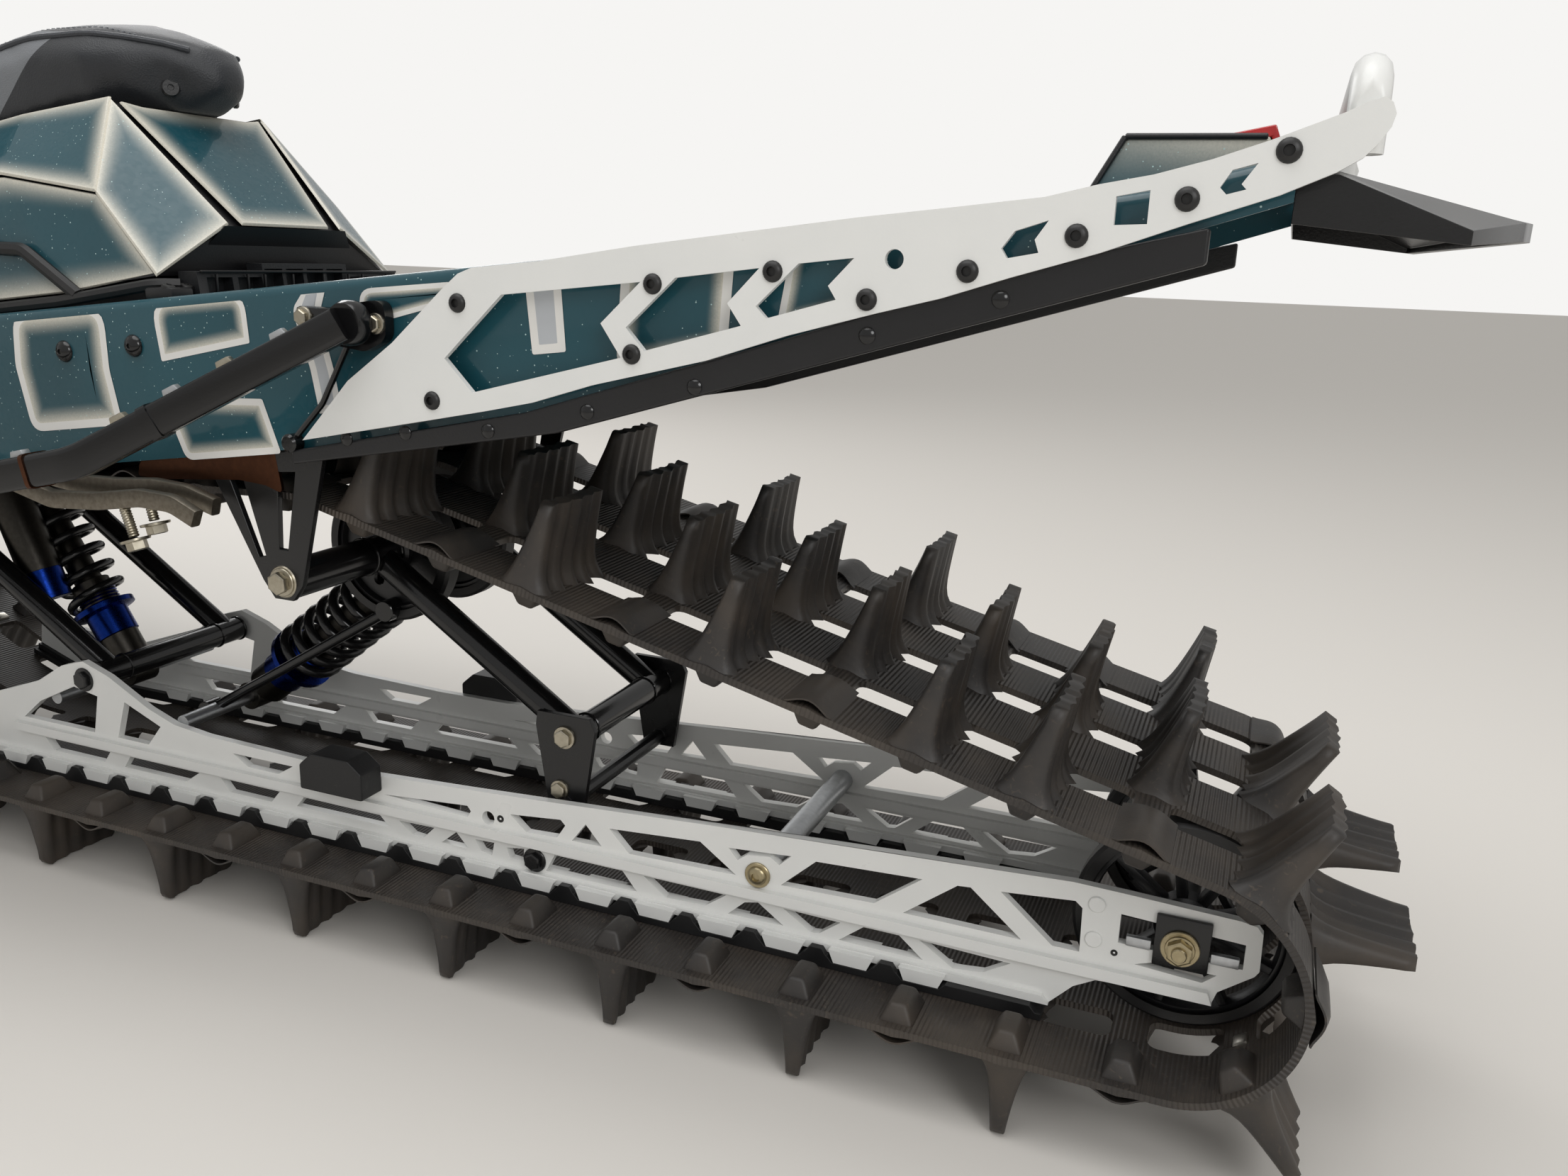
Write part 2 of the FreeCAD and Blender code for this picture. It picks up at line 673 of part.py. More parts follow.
rear_shock_top = (size.carrier_x + 26, 0, size.carrier_height - 42)
rear_shock_foot = (1036, 0, 172)
front_shock_top = (1370, 0, 392)
front_shock_foot = (1225, 0, 170)
track_shocks = [shock(rear_shock_top, rear_shock_foot, 23, 33, (0.2, 0.82)),
                shock(front_shock_top, front_shock_foot, 23, 33, (0.3, 0.85))]
keep(feature("track_shocks", Part.makeCompound(track_shocks)), "track_shocks")

# Cross shafts between the rails, with the shock's foot and the front arm's foot on them.
web_reach = size.rail_web / 2 + size.running_gap
shaft_y = rail_middle_y - web_reach
shafts = []
for x, z, radius in ((358, 150, 11.5), (rear_shock_foot[0], rear_shock_foot[2], 8),
                     (front_shock_foot[0], front_shock_foot[2], 8)):
    shafts.append(rod(at(x, -shaft_y, z), at(x, shaft_y, z), radius))
keep(feature("cross_shafts", Part.makeCompound(shafts)), "cross_shafts")

# Lower brackets that carry the foot of the rear arm between the rails.
bracket = side_prism([(596, 258), (540, 258), (534, 246), (548, 158), (584, 158), (598, 244)],
                     inner_y - 11.7, inner_y - 5.7)
bracket_bar = drum(566, 168, -shaft_y, shaft_y, 8, 12)
keep(feature("arm_brackets", fused([bracket, mirrored(bracket), bracket_bar])), "arm_brackets")

# Bump stops on the rails.
stop = side_prism([(766, 150), (842, 150), (842, 176), (826, 190), (782, 190), (766, 178)],
                  rail_middle_y + web_reach, size.rail_outer_y + 26)
keep(feature("bump_stops", both_sides(stop)), "bump_stops")

# Tunnel: a folded sheet channel over the track.
sheet_wall = size.tunnel_sheet
tunnel_outside = side_prism(TOP_LINE + FOOT_LINE, -half, half)
lowered = [(x + (30 if x > 1800 else -30 if x < 0 else 0), z - sheet_wall) for x, z in TOP_LINE]
below = [(-40, 600), (size.tunnel_front_x + 30, 200)]
tunnel_inside = side_prism(lowered + below, -half + sheet_wall, half - sheet_wall)
keep(feature("tunnel", tunnel_outside.cut(tunnel_inside)), "tunnel")

# Lower rails of the tunnel: dark box sections that stiffen its edges.
rail_box = side_prism([(35, 706), (35, 684), (315, 597), (499, 542), (760, 494), (760, 506),
                       (527, 556), (312, 624), (144, 680)], half + size.running_gap, half + size.rail_box_depth)
keep(feature("tunnel_rails", both_sides(rail_box)), "tunnel_rails")

# Side plates with their cut-outs, bent inwards behind the tunnel.
plate_outline = [
    (742, 517), (691, 570), (645, 603), (595, 647), (580, 659), (567, 664), (506, 671), (427, 684),
    (332, 697), (260, 707), (201, 714), (136, 722), (103, 730), (71, 736), (38, 745), (6, 756),
    (-32, 771), (-44, 777), (-51, 779), (-55.5, 776), (-58, 770), (-56.5, 763), (-51, 754), (-44, 746),
    (-31, 738), (-2, 725), (47, 708),
    (99, 689), (154, 672), (199, 657), (244, 645), (307, 627), (369, 606), (463, 582), (516, 565),
    (560, 555), (649, 536),
]
PLATE_CUTS = [
    [(26, 739), (12, 743), (20, 731), (17, 728), (28, 725), (32, 729)],
    [(92, 723), (72, 727), (72, 707), (92, 706)],
    [(153, 701), (132, 708), (140, 696), (137, 688), (157, 684), (161, 690)],
    [(300, 676), (260, 681), (278, 662), (272, 653), (323, 638), (331, 646)],
    [(394, 663), (329, 672), (353, 647), (342, 632), (419, 610), (434, 626)],
    [(541, 645), (422, 659), (455, 628), (438, 604), (570, 569), (595, 594)],
]
PLATE_HOLES = [(232, 681, 6.5)]
for name, sign in (("side_plate_left", ""), ("side_plate_right", "-")):
    middle = sign + ("(sizes.track_width / 2 + sizes.track_clearance + sizes.rail_box_depth + "
                     "sizes.running_gap + sizes.plate_thickness / 2)")
    keep(plate(name, plate_outline, PLATE_CUTS, PLATE_HOLES, middle, "plate_thickness"), name)
plate_inner = half + size.rail_box_depth + size.running_gap
plate_y = plate_inner + size.plate_thickness / 2

# Rear bumper: a hoop over the back, with its legs against the inner faces of the plates' ends.
beyond = Part.makeBox(200, 400, 400, at(-150, plate_inner - size.running_gap, 600))
leg_y = plate_inner - size.hoop_radius + 2
half_bumper = tube([at(-43.5, leg_y, 749), at(-43.5, leg_y, 796), at(-43.5, 0, 796)], size.hoop_radius,
                   44, 12).cut(beyond)
keep(feature("rear_bumper", fused([half_bumper, mirrored(half_bumper)])), "rear_bumper")

# Snow flap: a crowned shell, open below, that tapers to a blunt point behind.
FLAP = [
    # share of the half width, shoulder height, end along the sled, height of its upper and its lower edge
    (-1, 739, -110, 708.5, 700),
    (-0.5, 748, -150, 717, 705),
    (0, 750, -168, 720, 707),
    (0.5, 748, -150, 717, 705),
    (1, 739, -110, 708.5, 700),
]
flap_half = half - 15
flap_wall = 4


def flap_rings(margin, drop):
    """Sections of the flap along the sled, or with a margin those of the room under it."""
    rings = []
    for share, shoulder, end, high, low in FLAP:
        y = share * (flap_half - margin)
        rings.append([at(-10 - margin / 4, y, min(shoulder + 3, 748) - margin), at(-34, y, shoulder - margin),
                      at(end + 1.5 * margin, y, high - margin), at(end + 1.5 * margin, y, low - drop),
                      at(-10 - margin / 4, y, 710 - drop)])
    return rings


keep(feature("snow_flap", ruled(flap_rings(0, 0)).cut(ruled(flap_rings(flap_wall, 6)))), "snow_flap")

# Tail light: a painted housing on the tunnel, with a lens over its top and rear edge.
housing = side_prism([(134, 719.6), (105, 770), (10, 770), (10, 745.5), (75, 728.5)], -108, 108)
housing_front = Part.Face(ring([at(0, y, z) for y, z in ((-108, 700), (108, 700), (94, 790), (-94, 790))]))
keep(feature("tail_light_housing", housing.common(housing_front.extrude(Vector(200, 0, 0)))), "tail_light_housing")
lens = side_prism([(48, 770.3), (8, 778.5), (3, 766), (-1, 751), (9.7, 750), (9.7, 770.3)], -86, 86)
keep(feature("tail_light_lens", lens), "tail_light_lens")

# Running boards, each with the tube that carries its outer edge.
tube_y = size.board_half_width - size.board_tube_radius
seat_y = half + size.running_gap
board_tube = tube([at(681, plate_y + 16, 617), at(880, 325, 500), at(1090, 350, 452),
                   at(1500, tube_y, 388), at(1765, tube_y, 376), at(1765, seat_y, 376)],
                  size.board_tube_radius, 60)
foot_y = plate_y + size.plate_thickness / 2 + size.running_gap
tube_foot = drum(681, 617, foot_y, foot_y + 14, 20, 16)
BOARD = [
    # place along the sled, height at the tunnel, width and height at the tube
    (1010, 476, 340, 470),
    (1500, 402, tube_y, 388),
    (1745, 368, tube_y, 377),
]
board = ruled([[at(x, seat_y, inner_z), at(x, y, outer_z), at(x, y, outer_z - 4), at(x, seat_y, inner_z - 4)]
               for x, inner_z, y, outer_z in BOARD])
keep(feature("running_boards", both_sides(fused([board_tube, tube_foot, board]))), "running_boards")

# Seat: a long soft cushion with a crowned top and a tail that narrows to its end.
SEAT = [
    # place, lower edge's height and half width, crease's, piping's, crown's height
    (998, (820, 14), (831, 16), (842, 12), 844),
    (1014, (812, 28), (838, 34), (859, 24), 862),
    (1040, (811, 52), (845, 58), (866, 44), 871),
    (1068, (811, 80), (847, 86), (869, 66), 878),
    (1100, (807, 97), (848, 103), (871, 80), 882),
    (1180, (792, 102), (842, 108), (865, 84), 880),
    (1250, (779, 102), (830, 108), (852, 84), 866),
    (1400, (753, 98), (806, 104), (836, 80), 848),
    (1480, (738, 92), (796, 98), (833, 76), 845),
    (1560, (728, 84), (790, 90), (842, 66), 850),
]
seat_rings = []
for x, low, crease, piping, crown in SEAT:
    right = [at(x, y, z) for z, y in (low, crease, piping)]
    left = [at(x, -y, z) for z, y in (piping, crease, low)]
    seat_rings.append(right + [at(x, 0, crown)] + left)
keep(feature("seat", ruled(seat_rings)), "seat")


def tunnel_top(x):
    """Height just over the sloping top of the tunnel."""
    return 506 + (size.tunnel_front_x - x) * 202 / (size.tunnel_front_x - 200) + size.running_gap


# Painted fairing under the seat: a sloping rear panel, a chamfer on each side and long side panels.
seat_gap = size.running_gap
fairing_corners = {
    # corner: place along the sled, half width, height
    "rear_top": (1066, 97, 808),
    "rear_foot": (947, 75, 692),
    "side_foot": (953, 165, 641),
    "waist": (1022, 161, 716.4),
    "top_2": (1180, 101, 792 - seat_gap), "waist_2": (1144, 161, 731), "foot_2": (1064, 173, 622),
    "top_3": (1250, 101, 779 - seat_gap), "waist_3": (1250, 162, 728), "foot_3": (1250, 168, 600),
    "top_4": (1480, 91, 738 - seat_gap), "waist_4": (1480, 158, 690), "foot_4": (1480, 158, 573),
    "top_5": (1560, 83, 728 - seat_gap), "waist_5": (1560, 152, 668), "foot_5": (1560, 152, 564),
}
left_faces = [
    ("rear_top", "rear_foot", "side_foot", "waist"),
    ("rear_top", "waist", "waist_2", "top_2"),
    ("waist", "side_foot", "foot_2", "waist_2"),
]
spans = [("rear_top", "rear_foot"), ("rear_foot", "side_foot"), ("side_foot", "foot_2"), ("rear_top", "top_2")]
for here, there in (("2", "3"), ("3", "4"), ("4", "5")):
    left_faces.append(("top_" + here, "waist_" + here, "waist_" + there, "top_" + there))
    left_faces.append(("waist_" + here, "foot_" + here, "foot_" + there, "waist_" + there))
    spans += [("foot_" + here, "foot_" + there), ("top_" + here, "top_" + there)]
spans += [("top_5", "waist_5"), ("waist_5", "foot_5")]


def rear_block(margin):
    """The recessed black panel under the fairing's tail, or with a margin the room for it."""
    levels = [
        # height, rear end, half width
        (630, 972 - margin, 125 + margin),
        (686 + margin, 952.5 - margin, 81 + margin),
    ]
    return ruled([[at(back, half_width, z), at(1030 + margin, half_width, z), at(1030 + margin, -half_width, z),
                   at(back, -half_width, z)] for z, back, half_width in levels])


fairing = faceted(fairing_corners, left_faces, spans).cut(rear_block(size.running_gap))
keep(feature("seat_fairing", fairing), "seat_fairing")

# Dark base between the fairing and the tunnel, with a ribbed tray across its rear end.
base = side_prism([(950, tunnel_top(950)), (950, 640.5), (1064, 621.5), (1250, 599.5), (1480, 572.5), (1560, 563.5),
                   (1560, tunnel_top(1560))], -148, 148)
tray = side_prism([(926, tunnel_top(926)), (929, 648), (951.7, 648), (951.7, tunnel_top(951.7))], -141, 141)
tray_middle = side_prism([(928, 647), (928.5, 656), (948, 656), (948, 647)], -60, 60)
pockets = [side_prism([(900, 629), (900, 643), (940, 643), (940, 629)], y, y + 31) for y in (-130, -92, 61, 99)]
pockets += [side_prism([(900, 629), (900, 651), (940, 651), (940, 629)], y, y + 24) for y in (-54, -25, 4, 33)]
seat_box = fused([base, tray, tray_middle, rear_block(0)]).cut(pockets)
keep(feature("seat_box", seat_box), "seat_box")

# Console over the tank, between the seat and the hood, bored for the steering post.
post_foot = at(1812, 0, 812)
post_top = at(1692, 0, 1112)
post_way = (post_top - post_foot).normalize()


def console_ring(x, low, high, low_half, waist, waist_z, top_half):
    return [at(x, -low_half, low), at(x, low_half, low), at(x, waist, waist_z), at(x, top_half, high),
            at(x, -top_half, high), at(x, -waist, waist_z)]


console = ruled([
    console_ring(1560.3, tunnel_top(1560.3), 850, 120, 150, 700, 70),
    console_ring(1650, tunnel_top(1650), 915, 160, 230, 720, 100),
    console_ring(1794.7, tunnel_top(1794.7), 964, 112, 330, 620, 112),
])
mouth = post_foot + post_way * 95
console = console.cut(rod(mouth, post_top, size.post_radius + 0.5))
keep(feature("console", console), "console")

# Bodywork shell around the engine: one faceted hull, split into hood, side panels and belly pan.
HULL = [
    # place, sill half width and height, waist, shoulder, ridge
    (1795, (half + 9, 370), (360, 590), (284, 850), (117, 974)),
    (1900, (half + 9, 330), (385, 570), (300, 850), (115, 985)),
    (2150, (half, 300), (350, 560), (270, 800), (100, 905)),
    (2400, (160, 340), (262, 530), (212, 712), (84, 800)),
    (2590, (112, 372), (150, 492), (134, 610), (62, 690)),
    (2720, (88, 404), (124, 462), (106, 530), (46, 586)),
]


def hull_ring(row, wall):
    x, sill, waist, shoulder, ridge = row
    right = [(sill[0] - wall, sill[1] + wall), (waist[0] - wall, waist[1]),
             (shoulder[0] - wall, shoulder[1] - wall * 0.6), (max(ridge[0] - wall, 4), ridge[1] - wall)]
    left = [(-y, z) for y, z in reversed(right)]
    return [at(x, y, z) for y, z in right + left]


hull_outside = ruled([hull_ring(row, 0) for row in HULL])
inside_rows = [(1785,) + HULL[0][1:]] + HULL[1:5] + [(2712,) + HULL[5][1:]]
hull_inside = ruled([hull_ring(row, size.shell_wall) for row in inside_rows])
tunnel_room = side_prism([(1700, 200), (1960.3, 200), (1960.3, 506.3), (1700, 536.3)],
                        -half - size.running_gap, half + size.running_gap)
nose_room = side_prism([(2300, 100), (2760, 100), (2760, 472), (2640, 500), (2330, 520), (2300, 520)],
                       -500, 500)
hull = hull_outside.cut(hull_inside).cut(Part.makeCompound([tunnel_room, nose_room]))
hood_zone = side_prism([(1600, 822), (2760, 500), (2760, 1300), (1600, 1300)], -500, 500)
belly_zone = side_prism([(1600, 440), (2150, 400), (2760, 455), (2760, 100), (1600, 100)], -500, 500)
gap = size.panel_gap
panel_zone = side_prism([(1600, 822 - gap), (2760, 500 - gap), (2760, 455 + gap), (2150, 400 + gap),
                         (1600, 440 + gap)], gap / 2, 500)
keep(feature("belly_pan", hull.common(belly_zone)), "belly_pan")
panel = hull.common(panel_zone)
keep(feature("side_panel_left", panel), "side_panel_left")
keep(feature("side_panel_right", mirrored(panel)), "side_panel_right")


# Headlights set in the hood's front.
def lamp(margin):
    """The block of one lamp, or with a margin the room for it."""
    return ruled([
        [at(2490 - margin, y, z) for y, z in ((20 - margin, 742 + margin), (110 + margin, 720 + margin),
                                              (100 + margin, 680 - margin), (20 - margin, 700 - margin))],
        [at(2560 + margin, y, z) for y, z in ((20 - margin, 706 + margin), (92 + margin, 682 + margin),
                                              (84 + margin, 650 - margin), (20 - margin, 668 - margin))],
    ])


hood = hull.common(hood_zone).cut(both_sides(lamp(size.running_gap)))
keep(feature("hood", hood), "hood")
keep(feature("headlights", both_sides(lamp(0))), "headlights")

# Engine: one plain block before the tunnel, seated on the front frame.
engine_x = size.tunnel_front_x + size.running_gap
engine = Part.makeBox(2320 - engine_x, 300, 290, at(engine_x, -150, 400))
keep(feature("engine_block", engine), "engine_block")

# Windshield on the ridge of the hood, wider above.
shield = side_prism([(1972, 962.3), (1846, 1250), (1840, 1250), (1966, 964.2)], -170, 170)
shield_front = Part.Face(ring([at(1800, y, z) for y, z in (
    (-108, 940), (108, 940), (165, 1110), (160, 1200), (110, 1250), (-110, 1250), (-160, 1200),
    (-165, 1110))]))
keep(feature("windshield", shield.common(shield_front.extrude(Vector(200, 0, 0)))), "windshield")

# Front frame that carries the suspension, and the bumper before it.
axis_x = size.ski_axis_x
rack_x = axis_x - size.steering_arm_length
rack_z = 292
frame_half = 120
bulkhead = side_prism([(2300.3, 318), (2400, 296), (2700, 300), (2700, 400), (2660, 462),
                       (2420, 486), (2320.3, 399.7), (2300.3, 399.7)], -frame_half, frame_half)
rack_tube = rod(at(rack_x, -frame_half - 60, rack_z), at(rack_x, frame_half + 60, rack_z), 20)
rack_bore = rod(at(rack_x, -frame_half - 80, rack_z), at(rack_x, frame_half + 80, rack_z), 13)
tower = Part.Face(ring([at(2546.7, y, z) for y, z in (
    (110, 400), (110, 452), (184, 492), (184, 590), (214, 590), (214, 548), (193, 528), (193, 468),
    (150, 400))]))
tower = tower.extrude(Vector(8, 0, 0))
keep(feature("bulkhead", fused([bulkhead, rack_tube, tower, mirrored(tower)]).cut(rack_bore)), "bulkhead")
frame_room = Part.makeBox(400, 600, 400, at(2300 + size.running_gap, -300, 200))
half_hoop = tube([at(2660, 92, 356), at(2775, 110, 402), at(2805, 60, 430), at(2805, 0, 430)], 11, 50)
half_hoop = half_hoop.cut(frame_room)
keep(feature("front_bumper", fused([half_hoop, mirrored(half_hoop)])), "front_bumper")

# Skis with their loops; spindles that carry them; arms, dampers and tie rods.
ski_y = size.ski_y
low_ball_z = 210
high_ball_z = 365
keel = size.keel_height
SKI_LINE = [
    # place along the sled from the steering axis, height of the ski's underside
    (-430, keel + 16), (-380, keel), (330, keel), (450, keel + 32), (540, keel + 92), (600, keel + 165),
]
thick = size.ski_thickness
ski_side = [(axis_x + x, z) for x, z in SKI_LINE]
ski_side += [(axis_x + x - (4 if z > keel + 40 else 0), z + thick) for x, z in reversed(SKI_LINE)]
half_ski = size.ski_width / 2
ski_body = side_prism(ski_side, ski_y - half_ski, ski_y + half_ski)
ski_top = Part.Face(ring([at(axis_x + x, ski_y + y, 0) for x, y in (
    (-430, -55), (-400, -half_ski), (380, -half_ski), (600, -38), (600, 38), (380, half_ski),
    (-400, half_ski), (-430, 55))])).extrude(Vector(0, 0, 400))
ski_body = ski_body.common(ski_top)
keel_bar = side_prism([(axis_x - 330, keel + 2), (axis_x - 300, 0), (axis_x + 280, 0),
                       (axis_x + 340, keel + 2)], ski_y - 12, ski_y + 12)
saddle_side = [(axis_x - 120, keel + thick - 1), (axis_x - 40, keel + 76), (axis_x + 40, keel + 76),
               (axis_x + 120, keel + thick - 1)]
bolt_room = rod(at(axis_x, ski_y - 60, keel + 52), at(axis_x, ski_y + 60, keel + 52), 8 + size.running_gap)
saddle = side_prism(saddle_side, ski_y - 34, ski_y - 26)
saddle_far = side_prism(saddle_side, ski_y + 26, ski_y + 34)
handle = tube([at(axis_x + 330, ski_y, keel + 6), at(axis_x + 380, ski_y, keel + 120),
               at(axis_x + 520, ski_y, keel + 215), at(axis_x + 590, ski_y, keel + 158)], 9, 60)
ski = fused([ski_body, keel_bar, saddle, saddle_far, handle]).cut(bolt_room)
keep(feature("ski_left", ski), "ski_left")
keep(feature("ski_right", mirrored(ski)), "ski_right")

bolt = rod(at(axis_x, ski_y - 44, keel + 52), at(axis_x, ski_y + 44, keel + 52), 8)
foot = side_prism([(axis_x - 30, keel + 30), (axis_x + 30, keel + 30), (axis_x + 22, 150),
                   (axis_x - 22, 150)], ski_y - 24, ski_y + 24)
column_radius = 17
column = rod(at(axis_x, ski_y, 140), at(axis_x, ski_y, high_ball_z + 20), column_radius)
arm_end = axis_x - size.steering_arm_length
steering_arm = side_prism([(arm_end - 16, 299.5), (axis_x, 299.5), (axis_x, 322), (arm_end - 16, 314)],
                          ski_y - 13, ski_y + 13)
spindle = fused([bolt, foot, column, steering_arm])
keep(feature("spindle_left", spindle), "spindle_left")
keep(feature("spindle_right", mirrored(spindle)), "spindle_right")


def a_arm(inner_z, ball_z, rear_x, front_x):
    """Two tubes from the front frame to a ring around the spindle's column."""
    ball = at(axis_x, ski_y, ball_z)
    pieces = [tube([ball - Vector(0, 0, 16), ball + Vector(0, 0, 16)], column_radius + 12, sides=12)]
    for x in (rear_x, front_x):
        inner = at(x, frame_half - 15, inner_z)
        pieces.append(tube([inner, ball + (inner - ball).normalize() * 24], size.a_arm_tube_radius))
    return pieces


damper_foot_y = 335
lower_arm = a_arm(330, low_ball_z, 2430, 2670)
upper_arm = a_arm(440, high_ball_z, 2440, 2640)
share = (damper_foot_y - frame_half) / (ski_y - frame_half)
cross_z = 330 + share * (low_ball_z - 330)
rear_tube_x = 2430 + share * (axis_x - 2430)
front_tube_x = 2670 + share * (axis_x - 2670)
lower_arm.append(tube([at(rear_tube_x, damper_foot_y, cross_z), at(front_tube_x, damper_foot_y, cross_z)], 9))
arm_room = [rod(at(axis_x, ski_y, 150), at(axis_x, ski_y, 420), column_radius + 1),
            Part.makeBox(600, 200, 400, at(2300, frame_half + size.running_gap - 200, 200))]
arms = Part.makeCompound([fused(lower_arm).cut(arm_room), fused(upper_arm).cut(arm_room)])
keep(feature("a_arms", both_sides(arms)), "a_arms")
damper = shock((2575, 196, 568), (2600, damper_foot_y, cross_z + 25.3), 20, 27, (0.22, 0.8))
keep(feature("ski_dampers", both_sides(damper)), "ski_dampers")

tie_rod = fused([
    rod(at(rack_x, 60, rack_z), at(rack_x, frame_half + 55, rack_z), 13 - 2 * size.running_gap),
    rod(at(rack_x, 60, rack_z), at(rack_x, ski_y, rack_z), 6.5),
    rod(at(rack_x, ski_y, rack_z - 7), at(rack_x, ski_y, rack_z + 7), 15),
])
keep(feature("tie_rod_left", tie_rod), "tie_rod_left")
keep(feature("tie_rod_right", mirrored(tie_rod)), "tie_rod_right")

# Steering: post, riser and bar turn together, with a grip at each end.
across = Vector(0, 1, 0)
bar_end = size.bar_half_width
grip_start = bar_end - 125


def bar_at(y):
    """The bar rises and sweeps back towards its ends."""
    return post_top + Vector(-26 * abs(y) / bar_end, y, 34 * abs(y) / bar_end)


bar = tube([bar_at(-bar_end), bar_at(-120), post_top + Vector(0, -60, 0), post_top + Vector(0, 60, 0),
            bar_at(120), bar_at(bar_end)], size.bar_radius, 80, 8)
post = rod(post_foot + post_way * 100, post_top, size.post_radius)
clamp = rod(post_top - across * 45, post_top + across * 45, 22)
keep(feature("handlebar", fused([bar, post, clamp])), "handlebar")
grip_room = [rod(bar_at(grip_start), bar_at(bar_end), size.bar_radius + size.running_gap)]
grip = tube([bar_at(grip_start), bar_at(bar_end)], size.grip_radius, sides=12).cut(grip_room[0])
keep(feature("grips", both_sides(grip)), "grips")

doc.recompute()

# Everything is checked before anything is written.
os.makedirs("parts", exist_ok=True)
for item in doc.Objects:
    if "Invalid" in item.State or "Error" in item.State:
        raise RuntimeError("failed: " + item.Label)
for item in subparts:
    if item.Shape.isNull() or not item.Shape.isValid():
        raise RuntimeError("bad shape: " + item.Label)
for item in subparts:
    item.Shape.exportStep("parts/%s.step" % item.Label)
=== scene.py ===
import math
import random

import bmesh
import bpy
from mathutils import Matrix, Vector
from mathutils.bvhtree import BVHTree
from mathutils.kdtree import KDTree


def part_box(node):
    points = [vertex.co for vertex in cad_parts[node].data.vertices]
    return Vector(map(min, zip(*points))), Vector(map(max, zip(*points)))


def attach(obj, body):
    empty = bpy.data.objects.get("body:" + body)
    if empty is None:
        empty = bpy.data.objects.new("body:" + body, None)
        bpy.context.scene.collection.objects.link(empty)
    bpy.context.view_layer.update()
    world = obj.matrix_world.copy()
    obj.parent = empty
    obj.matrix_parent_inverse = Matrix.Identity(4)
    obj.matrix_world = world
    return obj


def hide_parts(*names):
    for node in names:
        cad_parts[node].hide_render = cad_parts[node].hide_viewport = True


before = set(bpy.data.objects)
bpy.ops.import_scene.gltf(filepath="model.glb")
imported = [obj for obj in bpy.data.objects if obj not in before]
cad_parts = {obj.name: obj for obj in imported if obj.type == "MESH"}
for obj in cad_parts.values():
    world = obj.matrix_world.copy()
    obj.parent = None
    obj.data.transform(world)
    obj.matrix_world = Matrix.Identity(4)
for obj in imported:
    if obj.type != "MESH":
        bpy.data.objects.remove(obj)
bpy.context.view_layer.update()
scene = bpy.context.scene
scene.view_settings.view_transform = "Standard"

# Camera: low beside the left rear corner of the sled, looking across the track, plates and tunnel.
# It is level with the running boards and turned forwards and a little down.
camera = bpy.data.objects.new("camera", bpy.data.cameras.new("camera"))
camera.data.sensor_width = 36
camera.data.lens = 28.39
camera.data.clip_start = 0.02
sight_right = Vector((-0.9285, -0.3699, 0.0336))
sight_up = Vector((0.1263, -0.2294, 0.9651))
sight_back = Vector((-0.3492, 0.9003, 0.2597))
camera.matrix_world = Matrix.Translation((-1.5384, 1.0389, 0.6811)) @ Matrix(
    (sight_right, sight_up, sight_back)).transposed().to_4x4()
scene.collection.objects.link(camera)
scene.camera = camera


# Studio: a pale floor and a white surround with soft light from all sides.
# A broad lamp overhead and one at the rear left give the paint and rubber their soft highlights.
def knot(tree, kind, sockets=(), **settings):
    """Adds a node with its settings, values and links."""
    node = tree.nodes.new(kind)
    for name, value in settings.items():
        setattr(node, name, value)
    for socket, value in dict(sockets).items():
        if isinstance(value, bpy.types.NodeSocket):
            tree.links.new(value, node.inputs[socket])
        else:
            node.inputs[socket].default_value = value
    return node


def colour(code):
    """sRGB hex to the linear colour that shaders take."""
    channels = [int(code[i:i + 2], 16) / 255 for i in (1, 3, 5)]
    return [c / 12.92 if c <= 0.04045 else ((c + 0.055) / 1.055) ** 2.4 for c in channels] + [1.0]


def finish(name):
    """A new material with its tree and its shader."""
    material = bpy.data.materials.new(name)
    material.use_nodes = True
    return material, material.node_tree, material.node_tree.nodes["Principled BSDF"]


studio = bpy.data.worlds.new("studio")
scene.world = studio
studio.use_nodes = True
sky = studio.node_tree
sky.nodes.clear()
ray = knot(sky, "ShaderNodeLightPath")
seen = knot(sky, "ShaderNodeMath", {0: ray.outputs["Is Camera Ray"], 1: ray.outputs["Is Transmission Ray"]},
            operation="MAXIMUM")
soft_sky = knot(sky, "ShaderNodeBackground", {"Color": colour("#f4f3f1"), "Strength": 0.62})
white_sky = knot(sky, "ShaderNodeBackground", {"Color": colour("#f6f5f3"), "Strength": 1.0})
both = knot(sky, "ShaderNodeMixShader", {0: seen.outputs[0], 1: soft_sky.outputs[0], 2: white_sky.outputs[0]})
knot(sky, "ShaderNodeOutputWorld", {0: both.outputs[0]})

LAMPS = [
    # name, place, aim, size, watts
    ("overhead", (-0.6, 0.6, 3.4), (-0.6, 0.0, 0.4), 3.2, 60),
    ("rear_left", (-3.6, 2.4, 2.2), (-1.2, 0.0, 0.5), 1.6, 38),
    ("front_right", (2.2, -2.6, 2.4), (0.2, 0.0, 0.5), 2.0, 36),
]
for name, place, aim, width, watts in LAMPS:
    lamp = bpy.data.objects.new(name, bpy.data.lights.new(name, "AREA"))
    lamp.data.shape = "DISK"
    lamp.data.size = width
    lamp.data.energy = watts
    lamp.location = place
    lamp.rotation_euler = (Vector(aim) - Vector(place)).to_track_quat("-Z", "Y").to_euler()
    scene.collection.objects.link(lamp)

